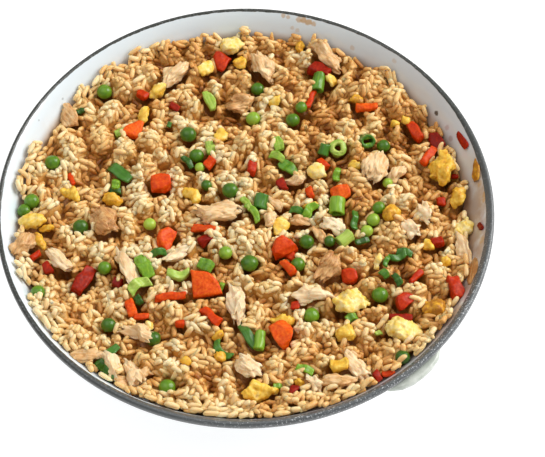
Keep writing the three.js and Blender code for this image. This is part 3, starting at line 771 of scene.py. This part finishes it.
# tints of the CAD toppings, from dark to light, in the order of their nodes
nodeTints = {
    "pea": [0.55, 0.45, 0.5, 0.3, 0.3, 0.4, 0.35, 0.8, 0.4, 0.35, 0.35, 0.4, 0.3, 0.55, 0.6, 0.45],
    "carrot": [0.45, 0.1, 0.85, 0.7, 0.85, 0.5, 0.7, 0.75, 0.8, 0.15, 0.65, 0.8, 0.5, 0.4],
    "chicken": [0.45, 0.25, 0.6, 0.5, 0.55, 0.6, 0.8, 0.7, 0.75, 0.85, 0.8, 0.7, 0.65],
    "egg": [0.35, 0.7, 0.75, 0.75, 0.5],
    "spring_onion_leaf": [0.25, 0.8, 0.45, 0.6, 0.3, 0.25],
    "spring_onion_ring": [0.8, 0.35],
}
pieceNames = {
    "pea": "peas",
    "carrot": "carrots",
    "chicken": "chickenPieces",
    "egg": "scrambledEgg",
    "springOnion": "springOnions",
}


def kindOf(family):
    return "springOnion" if family.startswith("spring") else family


def makeToppings(materials, carrier):
    draw = random.Random(11)
    made = {kind: [] for kind in pieceNames}
    seed = 1
    for family, tints in nodeTints.items():
        kind = kindOf(family)
        finish = "ring" if family.endswith("ring") else kind
        for name, tint in zip(nodeNames(family), tints):
            made[kind].append(dressedMesh(mergedNode(name), finish, seed, tint))
            seed += 1
    for kind, shape, tint in smallShapes(carrier, draw):
        made[kind].append(dressedMesh(shape, kind, seed, tint))
        seed += 1
    for kind, shape, tint in wallShapes():
        made[kind].append(dressedMesh(shape, "flake", seed, tint))
        seed += 1
    pieces = []
    for kind, meshes in made.items():
        together = bmesh.new()
        for mesh in meshes:
            together.from_mesh(mesh)
            bpy.data.meshes.remove(mesh)
        for corner in together.verts:
            pushInside(corner)
        joined = bpy.data.meshes.new(pieceNames[kind])
        together.to_mesh(joined)
        together.free()
        joined.materials.append(materials[kind])
        shadeSmooth(joined)
        replaced = [name for family in nodeTints if kindOf(family) == kind for name in nodeNames(family)]
        pieces.append(linkPiece(pieceNames[kind], joined, replaced))
        print("made", pieceNames[kind], len(joined.polygons), "faces")
    return pieces


def pushInside(corner):
    # keeps a point of a topping clear of the pan's wall
    x, y, z = corner.co / mm
    most = insideRadius(z) - 0.25
    far = math.hypot(x, y)
    if far > most:
        corner.co.x *= most / far
        corner.co.y *= most / far


# The rice: grains dropped one by one onto a map of heights. Lengths in mm, angles in radians.
rice = {
    "cell": 0.6,  # of the map of heights
    "reach": 127.2,
    "most": 9000,
    "tries": 86000,
    "looseTries": 2400,  # the last grains, which lie on top
    "length": (5.7, 8.7),
    "brokenShare": 0.62,  # length of a broken grain
    "thickness": (2.45, 3.1),
    "sunk": (0.08, 0.34),  # how far a grain stands out, of its thickness
    "looseSunk": (0.3, 0.46),
    "steepShare": 0.07,
    "steep": (0.5, 1.15),
    "leanShare": 0.4,  # grains beside the wall that lean on it
    "lean": (0.35, 0.95),
    "dropRadius": 125.4,
    "highestTip": 50.4,
    "depth": 6.0,  # thickness of the layer of loose grains
    "below": 0.2,
    "edgeLevel": 38.0,
    "middle": 110,  # inside this radius the clumps leave the level as it is
    "bank": 4.5,
    "bankSide": (50, 25),  # where the bank starts towards -Y, and how far it takes to rise
    "bankFar": (104, 10),  # the same, from the centre
    "rimLevel": 48.9,
    "rimTowards": (-0.21, -0.978),
    "rimSide": (54, 16),
    "rimFar": (116, 6),
    "highest": 49.9,
    "lower": 1.0,  # than the topping beside it
    "lowest": 4.0,
    "clumpSpacing": 13.0,
    "clumpWidth": (4.8, 9.0),
    "clumpHeight": (3.0, 10.5),
    "seed": 5,
    "clumpSeed": 3,
}
cells = int(2 * rice["reach"] / rice["cell"]) + 1
gridLine = np.arange(cells) * rice["cell"] - rice["reach"]
gridX, gridY = np.meshgrid(gridLine, gridLine)
gridFar = np.hypot(gridX, gridY)


def cellOf(value):
    return np.clip(np.round((value + rice["reach"]) / rice["cell"]).astype(int), 0, cells - 1)


def castHeights(tree):
    # height of the first surface below every cell, and -1 where there is none
    heights = np.full((cells, cells), -1.0)
    for row, y in enumerate(gridLine):
        for column, x in enumerate(gridLine):
            if x * x + y * y > rice["reach"] ** 2:
                continue
            hit = tree.ray_cast(Vector((x, y, 60)), Vector((0, 0, -1)))[0]
            if hit is not None:
                heights[row, column] = hit.z
    return heights


def neighbours(values):
    padded = np.pad(values, 1, mode="edge")
    return [padded[:-2, 1:-1], padded[2:, 1:-1], padded[1:-1, :-2], padded[1:-1, 2:]]


def blurred(values, passes):
    for _ in range(passes):
        values = (sum(neighbours(values)) + values) / 5
    return values


def clumps(draw):
    # rounded lumps of rice with narrow valleys between them
    lumps = np.zeros((cells, cells))
    step = rice["clumpSpacing"]
    count = int(rice["reach"] / step) + 2
    for row in range(-count, count + 1):
        for column in range(-count, count + 1):
            centreX = (column + 0.5 * (row % 2) + draw.uniform(-0.36, 0.36)) * step
            centreY = (row + draw.uniform(-0.36, 0.36)) * step * 0.87
            width = draw.uniform(*rice["clumpWidth"])
            stretch = draw.uniform(0.75, 1.3)
            turn = draw.uniform(0, math.pi)
            height = draw.uniform(*rice["clumpHeight"])
            along = (gridX - centreX) * math.cos(turn) + (gridY - centreY) * math.sin(turn)
            across = (gridY - centreY) * math.cos(turn) - (gridX - centreX) * math.sin(turn)
            apart = np.sqrt((along / stretch) ** 2 + (across * stretch) ** 2) / width
            lumps = np.maximum(lumps, height * np.sqrt(np.clip(1 - apart ** 2, 0, 1)))
    return lumps


def spreadOut(values, known, passes):
    # fills the cells next to known ones with their neighbours' mean
    for _ in range(passes):
        weight = np.pad(known.astype(float), 1)
        held = np.pad(np.where(known, values, 0.0), 1)
        near = sum(np.roll(weight, step, axis) for step in (-1, 1) for axis in (0, 1))[1:-1, 1:-1]
        total = sum(np.roll(held, step, axis) for step in (-1, 1) for axis in (0, 1))[1:-1, 1:-1]
        new = ~known & (near > 0)
        values = np.where(new, total / np.maximum(near, 1), values)
        known = known | new
    return values, known


def widened(values, passes):
    # the highest value within so many cells
    for _ in range(passes):
        values = np.maximum.reduce(neighbours(values) + [values])
    return values


def rising(values, span):
    # from 0 to 1, given where it starts and over how many mm
    start, width = span
    return smooth((values - start) / width)


def makeHeights(carrier, toppings, draw):
    # the surface that the rice should reach, and the toppings standing on it
    heap = castHeights(carrier)
    level, known = spreadOut(heap, heap > 0, 14)
    level = blurred(np.where(known, level, rice["edgeLevel"]), 8)
    lumps = clumps(draw)
    wanted = level - rice["below"] + lumps - lumps[gridFar < rice["middle"]].mean()
    # banked up against the wall on the near side
    near = rising(-gridY, rice["bankSide"]) * rising(gridFar, rice["bankFar"])
    wanted = np.minimum(wanted + rice["bank"] * near, rice["highest"])
    # up to the rim from the left to the lower right
    towards = gridX * rice["rimTowards"][0] + gridY * rice["rimTowards"][1]
    rimward = rising(towards, rice["rimSide"]) * rising(gridFar, rice["rimFar"])
    wanted = np.maximum(wanted, rice["rimLevel"] * rimward)
    tops = castHeights(treeOf([piece.data for piece in toppings]))
    # beside a topping the rice stays a little lower than its top
    limit = widened(tops, 5) - rice["lower"]
    wanted = np.where(limit > 0, np.maximum(np.minimum(wanted, limit), level - rice["lowest"]), wanted)
    wallRadius = insideRadius(pan["height"]) - (pan["height"] - wanted) / math.tan(pan["slope"])
    inside = known & (gridFar < wallRadius + 0.5)
    return np.where(inside, wanted, -1.0), tops, level


# grain shapes: places of the rings from tip to tip, how full the grain is there, and its bend
grainShapes = {
    "long": {
        "places": [-0.45, -0.3, 0, 0.3, 0.45],
        "fullness": [0.58, 0.93, 1.0, 0.93, 0.56],
        "bend": 0.03,
    },
    "bent": {
        "places": [-0.45, -0.28, 0, 0.28, 0.45],
        "fullness": [0.58, 0.93, 1.0, 0.95, 0.62],
        "bend": 0.10,
    },
    "tapered": {
        "places": [-0.46, -0.34, -0.05, 0.25, 0.43],
        "fullness": [0.6, 0.96, 0.98, 0.78, 0.42],
        "bend": 0.05,
    },
    "broken": {
        "places": [-0.45, -0.36, 0, 0.34, 0.46],
        "fullness": [0.76, 0.98, 1.0, 0.96, 0.72],
        "bend": 0.02,
    },
}
grainChances = (5, 4, 3, 4)


def grainTemplate(look):
    # a unit grain along X: a sphere whose rings are moved to the places given
    rings = len(look["places"])
    shape = bmesh.new()
    bmesh.ops.create_uvsphere(shape, u_segments=8, v_segments=rings + 1, radius=0.5)
    for corner in shape.verts:
        around = math.hypot(corner.co.x, corner.co.y)
        if around < 1e-5:
            corner.co = (math.copysign(0.5, corner.co.z), 0, 0)
            continue
        latitude = math.asin(max(-1, min(1, corner.co.z * 2))) / math.pi + 0.5
        order = round(latitude * (rings + 1)) - 1
        width = look["fullness"][order] / 2 / around
        corner.co = (look["places"][order], corner.co.x * width, corner.co.y * width)
    bmesh.ops.recalc_face_normals(shape, faces=shape.faces)
    points = np.array([v.co[:] for v in shape.verts])
    faces = [[v.index for v in f.verts] for f in shape.faces]
    shape.free()
    return points, look["bend"] * (1 - 4 * points[:, 0] ** 2), faces


def dropGrains(wanted, tops):
    # each grain settles into what lies under it, until the rice reaches the surface wanted
    draw = random.Random(rice["seed"])
    wallHeight = pan["height"] - (insideRadius(pan["height"]) - gridFar) * math.tan(pan["slope"])
    surface = np.where(wanted > 0, np.maximum(wanted - rice["depth"], wallHeight + 1.5), -1.0)  # rice alone
    field = np.maximum(surface, tops)  # rice and toppings
    covered = tops > 0
    along = np.linspace(-0.46, 0.46, 15)
    across = np.array([-0.42, -0.2, 0.0, 0.2, 0.42])
    domed = np.sqrt(np.clip(1 - (along * 2) ** 6, 0, 1))[:, None] * np.sqrt(1 - (across * 2) ** 2)[None, :]
    spread = (along ** 2).sum()
    placed = []
    for attempt in range(rice["tries"] + rice["looseTries"]):
        loose = attempt >= rice["tries"]
        radius = math.sqrt(draw.random()) * rice["dropRadius"]
        azimuth = draw.uniform(0, 2 * math.pi)
        x, y = radius * math.cos(azimuth), radius * math.sin(azimuth)
        row, column = cellOf(np.array([y, x]))
        goal = wanted[row, column]
        full = field[row, column] > goal + (1.0 if loose else -0.4)
        if goal < 0 or full or len(placed) >= rice["most"]:
            continue
        heading = 3.2 * noise.noise(Vector((x / 11, y / 11, 2.7))) + draw.gauss(0, 1.2)
        besideWall = radius > insideRadius(goal) - 4.5
        leaning = besideWall and draw.random() < rice["leanShare"]
        if leaning:
            heading = azimuth + draw.gauss(0, 0.45)
        elif besideWall:
            heading = azimuth + math.pi / 2 + draw.gauss(0, 0.4)
        kind = draw.choices(list(grainShapes), grainChances)[0]
        length = draw.uniform(*rice["length"]) * (rice["brokenShare"] if kind == "broken" else 1)
        thickness = draw.uniform(*rice["thickness"])
        steep = 0.0
        if leaning:
            steep = draw.uniform(*rice["lean"])
        elif draw.random() < rice["steepShare"] and not besideWall:
            steep = draw.choice((-1, 1)) * draw.uniform(*rice["steep"])
        reach = length * math.cos(steep)
        lines = along[:, None] * reach
        sides = across[None, :] * thickness
        columns = cellOf(x + lines * math.cos(heading) - sides * math.sin(heading))
        rows = cellOf(y + lines * math.sin(heading) + sides * math.cos(heading))
        share = covered[rows, columns].mean()
        # few grains lie on the toppings, most of them the last ones
        most, chance = (0.5, 0.6) if loose else (0.7, 0.14)
        if share > 0.16 and (share > most or draw.random() > chance):
            continue
        ridge = field[rows, columns].mean(1)
        if steep:
            slope = math.tan(steep)
            z = ridge.mean() + draw.uniform(0.0, 0.18) * length * abs(math.sin(steep))
        else:
            slope = (along * ridge).sum() / spread / length + draw.gauss(0, 0.16)
            slope = max(-0.8, min(0.8, slope))
            sunk = draw.uniform(*(rice["looseSunk"] if loose else rice["sunk"]))
            z = np.percentile(ridge - slope * along * length, 75) + thickness * sunk
        rise = 0.5 * length * math.sin(math.atan(slope))
        run = 0.5 * length * math.cos(math.atan(slope))
        runX, runY = run * math.cos(heading), run * math.sin(heading)
        tips = [(math.hypot(x + side * runX, y + side * runY), z + side * rise) for side in (-1, 1)]
        if any(out > insideRadius(up) - thickness * 0.5 or up > rice["highestTip"] for out, up in tips):
            continue
        top = z + slope * lines + 0.5 * thickness * domed
        if not besideWall and (top - wanted[rows, columns]).max() > (3.6 if steep or loose else 2.5):
            continue
        np.maximum.at(field, (rows, columns), top)
        np.maximum.at(surface, (rows, columns), top)
        placed.append((kind, (x, y, z, heading, slope, length, thickness, draw.random())))
    print("dropped", len(placed), "grains")
    return placed, surface


def riceTint(x, y, luck):
    # browned in patches; darker towards the sides except -X, partly browning and partly painted shade;
    # lighter in the middle
    patch = noise.noise(Vector((x / 22, y / 22, 9.1))) + 0.7 * noise.noise(Vector((x / 8, y / 8, 4.2)))
    # painted shade, with some browning: darker towards +Y, +X and -Y
    sides = 0.0024 * max(y, 0) + 0.0016 * max(x, 0) + 0.0022 * max(-y - 30, 0)
    middle = 0.10 * max(0, 1 - math.hypot(x, y) / 60)
    return 0.69 + 0.40 * patch + 0.18 * (luck - 0.5) - sides + middle


def makeGrains(placed, surface, level, material):
    # the surface that the tops of the grains make; what lies below it is browner and darker, as painted
    # shade
    crown = blurred(widened(surface, 2), 3)
    for kind, look in grainShapes.items():
        points, arch, faces = grainTemplate(look)
        chosen = [grain for name, grain in placed if name == kind]
        allPoints, tints = [], []
        for x, y, z, heading, slope, length, thickness, luck in chosen:
            flat = 0.84 + 0.3 * ((luck * 7.3) % 1)
            turn = (luck * 13.7) % 1 - 0.5
            body = points * np.array([length, thickness, thickness * flat])
            body[:, 1] += arch * length * math.cos(turn * 5)
            body[:, 2] += arch * length * 0.5 * abs(math.sin(turn * 5))
            matrix = Euler((turn, -math.atan(slope), heading), "XYZ").to_matrix()
            allPoints.append(body @ np.array(matrix).T + np.array([x, y, z]))
            tints.append(np.full(len(points), riceTint(x, y, luck)))
        allPoints = np.concatenate(allPoints)
        rows, columns = cellOf(allPoints[:, 1]), cellOf(allPoints[:, 0])
        # painted shade: darker low on each grain and in the hollows between the clumps
        below = np.clip(crown[rows, columns] - allPoints[:, 2], -0.5, 4)
        hollowShade = np.clip(level[rows, columns] - crown[rows, columns], -3, 4)
        tints = np.concatenate(tints) - 0.075 * below - 0.10 * hollowShade
        count = len(points)
        mesh = bpy.data.meshes.new("rice" + kind.capitalize())
        mesh.from_pydata(
            (allPoints * mm).tolist(), [],
            [[i + base * count for i in face] for base in range(len(chosen)) for face in faces],
        )
        writeAttribute(mesh, "tint", "FLOAT", np.clip(tints, 0.0, 1.0))
        shadeSmooth(mesh)
        mesh.materials.append(material)
        linkPiece("rice" + kind.capitalize(), mesh)
        triangles = sum(len(face) - 2 for face in faces) * len(chosen)
        print("made rice", kind, len(chosen), "grains", triangles, "triangles")


# the rice just under the grains, packed and stuck together
heart = {
    "rings": 92,
    "turns": 300,
    "flat": 40.0,  # height of the top before it follows the grains
    "edge": 37.0,
    "under": 1.5,  # depth below the tops of the grains
    "bumpSize": 1.9,
    "bumpHeight": 1.1,
    "gap": 0.8,  # to the wall
}


def makeHeart(surface, level, material):
    # a spun solid whose top follows the grains
    rings, gap, foot = heart["rings"], heart["gap"], pan["sheet"] + 1.0
    rim = insideRadius(heart["edge"] + 1) - 1.0
    profile = [(rim * i / rings, heart["flat"]) for i in range(rings + 1)]
    profile += [(insideRadius(z) - gap, z) for z in (20, 10, foot)] + [(0, foot)]
    mesh = spunMesh("riceHeart", profile, heart["turns"])
    held, known = spreadOut(surface, surface > 0, 10)
    held = blurred(np.where(known, held, 30.0), 3)
    points = meshPoints(mesh) / mm
    far = np.hypot(points[:, 0], points[:, 1])
    top = points[:, 2] > heart["flat"] - 0.5
    rows, columns = cellOf(points[:, 1]), cellOf(points[:, 0])
    bumps = np.array([noise.noise(Vector((*place, 0.3))) for place in points[:, :2] / heart["bumpSize"]])
    heights = held[rows, columns] - heart["under"] + heart["bumpHeight"] * bumps
    edge = rising(far - rim, (-4, 4))
    heights = heights * (1 - edge) + np.minimum(heights, heart["edge"]) * edge
    points[:, 2] = np.where(top, heights, points[:, 2])
    most = insideRadius(pan["height"]) - (pan["height"] - points[:, 2]) / math.tan(pan["slope"]) - gap
    points[:, :2] *= np.where(top & (far > most), most / np.maximum(far, 1), 1.0)[:, None]
    mesh.vertices.foreach_set("co", (points * mm).ravel())
    mesh.update()
    # painted shade: the heart is darker where it lies below the level
    below = np.clip(level[rows, columns] - heights, -4, 8)
    writeAttribute(mesh, "tint", "FLOAT", np.clip(0.42 - 0.075 * below, 0.0, 0.7))
    mesh.materials.append(material)
    linkPiece("riceHeart", mesh, ["rice_heap"])
    print("made the heart of the heap", len(mesh.polygons), "faces")


# Materials of the food: how the surface takes light, the clouds of noise (size in mm, detail, amount)
# that vary the tint of the mesh, the colours from dark to light, and the fine bumps.
foods = {
    "cookedRice": {
        "roughness": 0.42, "scatter": 0.85, "radius": (1.0, 0.85, 0.68), "coat": 0.10, "depth": 2.2,
        "clouds": (2.2, 2, 0.34),
        "colours": [
            (0.0, (0.24, 0.075, 0.008)), (0.25, (0.47, 0.195, 0.035)), (0.5, (0.69, 0.38, 0.118)),
            (0.75, (0.82, 0.555, 0.245)), (1.0, (0.88, 0.70, 0.42)),
        ],
        "bumps": (0.9, 2, 0.2, 0.3),
    },
    # the rice under the grains: darker and more saturated than the grains, as painted shade in the gaps
    "shadedPackedRice": {
        "roughness": 0.5, "scatter": 0.3, "radius": (1.0, 0.6, 0.3), "coat": 0.1, "depth": 1.2,
        "clouds": (2.4, 4, 0.5),
        "colours": [
            (0.0, (0.28, 0.095, 0.010)), (0.25, (0.50, 0.22, 0.035)), (0.5, (0.64, 0.34, 0.09)),
            (0.8, (0.78, 0.53, 0.24)),
        ],
        "bumps": (2.2, 3, 0.8, 1.2),
    },
    "pea": {
        "roughness": 0.28, "scatter": 0.15, "radius": (0.6, 1.0, 0.2), "coat": 0.3, "depth": 1.2,
        "clouds": (3.5, 3, 0.5),
        "colours": [
            (0.0, (0.018, 0.055, 0.002)), (0.35, (0.050, 0.145, 0.004)), (0.65, (0.15, 0.31, 0.012)),
            (1.0, (0.38, 0.54, 0.06)),
        ],
        "bumps": (1.0, 3, 0.3, 0.25),
    },
    "carrot": {
        "roughness": 0.42, "scatter": 0.3, "radius": (1.0, 0.22, 0.04), "coat": 0.06, "depth": 1.8,
        "specular": 0.15,
        "colours": [
            (0.0, (0.20, 0.006, 0.001)), (0.35, (0.42, 0.020, 0.001)), (0.7, (0.64, 0.058, 0.001)),
            (1.0, (0.84, 0.16, 0.010)),
        ],
        "bumps": (0.9, 4, 0.4, 0.4),
    },
    "chicken": {
        "roughness": 0.44, "scatter": 0.35, "radius": (1.0, 0.6, 0.35), "coat": 0.12, "depth": 2.0,
        "colours": [
            (0.0, (0.42, 0.18, 0.05)), (0.3, (0.66, 0.38, 0.15)), (0.6, (0.80, 0.56, 0.30)),
            (1.0, (0.91, 0.75, 0.50)),
        ],
    },
    "egg": {
        "roughness": 0.42, "scatter": 0.28, "radius": (1.0, 0.75, 0.25), "coat": 0.2, "depth": 1.2,
        "clouds": (3, 4, 1.3),
        "colours": [
            (0.0, (0.42, 0.16, 0.01)), (0.25, (0.72, 0.37, 0.02)), (0.55, (0.86, 0.58, 0.08)),
            (1.0, (0.92, 0.80, 0.42)),
        ],
        "bumps": (0.9, 3, 0.5, 0.4),
    },
    "springOnion": {
        "roughness": 0.3, "scatter": 0.15, "radius": (0.6, 1.0, 0.3), "coat": 0.18, "depth": 1.2,
        "colours": [
            (0.0, (0.022, 0.075, 0.005)), (0.35, (0.060, 0.19, 0.018)), (0.65, (0.20, 0.38, 0.02)),
            (1.0, (0.50, 0.62, 0.13)),
        ],
    },
}


def foodShader(name):
    food = foods[name]
    material, tree, shader = newMaterial(name)
    shader.inputs["Roughness"].default_value = food["roughness"]
    shader.inputs["Subsurface Weight"].default_value = food["scatter"]
    shader.inputs["Subsurface Radius"].default_value = food["radius"]
    shader.inputs["Subsurface Scale"].default_value = food["depth"] * mm
    shader.inputs["Coat Weight"].default_value = food["coat"]
    shader.inputs["Coat Roughness"].default_value = 0.25
    shader.inputs["Specular IOR Level"].default_value = food.get("specular", 0.3)
    return material, tree, shader


def tintedColour(tree, shader, spread, name):
    # the tint of the mesh and a spread about it pick the colour
    tone = math2(tree, "ADD", attribute(tree, "tint").outputs["Fac"], spread, True)
    tree.links.new(colourRamp(tree, tone, foods[name]["colours"]), shader.inputs["Base Color"])


def fineBumps(tree, shader, name):
    size, detail, strength, depth = foods[name]["bumps"]
    bump(tree, shader, noiseAt(tree, objectPlace(tree), size, detail), strength, depth)


def fibres(tree, stretch, scale, detail):
    # noise along the piece, which its own axes carry
    local = attribute(tree, "local").outputs["Vector"]
    if stretch:
        local = addNode(tree, "ShaderNodeMapping", None, Vector=local, Scale=stretch).outputs[0]
    return addNode(tree, "ShaderNodeTexNoise", None, Vector=local, Scale=scale, Detail=detail).outputs["Fac"]


def cloudedFood(name):
    material, tree, shader = foodShader(name)
    size, detail, amount = foods[name]["clouds"]
    clouds = noiseAt(tree, objectPlace(tree), size, detail)
    tintedColour(tree, shader, centred(tree, clouds, amount), name)
    fineBumps(tree, shader, name)
    return material


def carrotMaterial():
    material, tree, shader = foodShader("carrot")
    tintedColour(tree, shader, centred(tree, fibres(tree, None, 0.7, 6.0), 0.8), "carrot")
    fineBumps(tree, shader, "carrot")
    return material


def chickenMaterial():
    material, tree, shader = foodShader("chicken")
    fibre = fibres(tree, (0.09, 1.0, 1.0), 1.0, 5.0)
    patch = centred(tree, noiseAt(tree, objectPlace(tree), 6, 3), 0.9)
    tintedColour(tree, shader, math2(tree, "ADD", patch, centred(tree, fibre, 1.1)), "chicken")
    bump(tree, shader, fibre, 0.7, 0.5)
    return material


def onionMaterial():
    material, tree, shader = foodShader("springOnion")
    line = fibres(tree, (0.08, 1.1, 1.1), 1.0, 3.0)
    tintedColour(tree, shader, centred(tree, line, 0.55), "springOnion")
    bump(tree, shader, line, 0.2, 0.3)
    return material


def toppingMaterials():
    return {
        "pea": cloudedFood("pea"),
        "carrot": carrotMaterial(),
        "chicken": chickenMaterial(),
        "egg": cloudedFood("egg"),
        "springOnion": onionMaterial(),
    }


# the table and the light
light = {
    "keyPlace": (1.50, 0.60, 1.22),
    "keySize": 1.4,
    "keyPower": 44.0,
    "fillPlace": (-0.35, 0.05, 1.0),
    "fillSize": 1.0,
    "fillPower": 4.0,
    "sky": 0.43,
}


def addLamp(name, place, size, power, colour):
    data = bpy.data.lights.new(name, "AREA")
    data.size = size
    data.energy = power
    data.color = colour
    lamp = bpy.data.objects.new(name, data)
    lamp.location = place
    lamp.rotation_euler = (-Vector(place)).to_track_quat("-Z", "Y").to_euler()
    bpy.context.scene.collection.objects.link(lamp)


def makeStage():
    shape = bmesh.new()
    bmesh.ops.create_grid(shape, x_segments=4, y_segments=4, size=4.0)
    mesh = bpy.data.meshes.new("table")
    shape.to_mesh(mesh)
    shape.free()
    material, tree, shader = newMaterial("paleTable")
    shader.inputs["Base Color"].default_value = (0.4, 0.4, 0.4, 1)
    shader.inputs["Roughness"].default_value = 0.8
    shader.inputs["Specular IOR Level"].default_value = 0.1
    shader.inputs["Emission Color"].default_value = (1, 1, 1, 1)
    shader.inputs["Emission Strength"].default_value = 0.75
    mesh.materials.append(material)
    floor = bpy.data.objects.new("table", mesh)
    floor.location.z = -0.0002
    bpy.context.scene.collection.objects.link(floor)
    addLamp("key", light["keyPlace"], light["keySize"], light["keyPower"], (1.0, 0.98, 0.96))
    addLamp("fill", light["fillPlace"], light["fillSize"], light["fillPower"], (1.0, 0.97, 0.92))
    world = bpy.data.worlds.new("soft")
    world.use_nodes = True
    world.node_tree.nodes["Background"].inputs[0].default_value = (0.99, 0.98, 0.97, 1)
    world.node_tree.nodes["Background"].inputs[1].default_value = light["sky"]
    scene = bpy.context.scene
    scene.world = world
    scene.view_settings.view_transform = "Standard"
    scene.view_settings.look = "None"


makeCamera()
makeStage()
makePan(enamelMaterial())
makeLug(lugMaterial())
print("made the pan")

heapTree = treeOf([cadNodes["rice_heap"].data])
toppings = makeToppings(toppingMaterials(), heapTree)
wanted, tops, level = makeHeights(heapTree, toppings, random.Random(rice["clumpSeed"]))
grains, surface = dropGrains(wanted, tops)
makeGrains(grains, surface, level, cloudedFood("cookedRice"))
makeHeart(surface, level, cloudedFood("shadedPackedRice"))
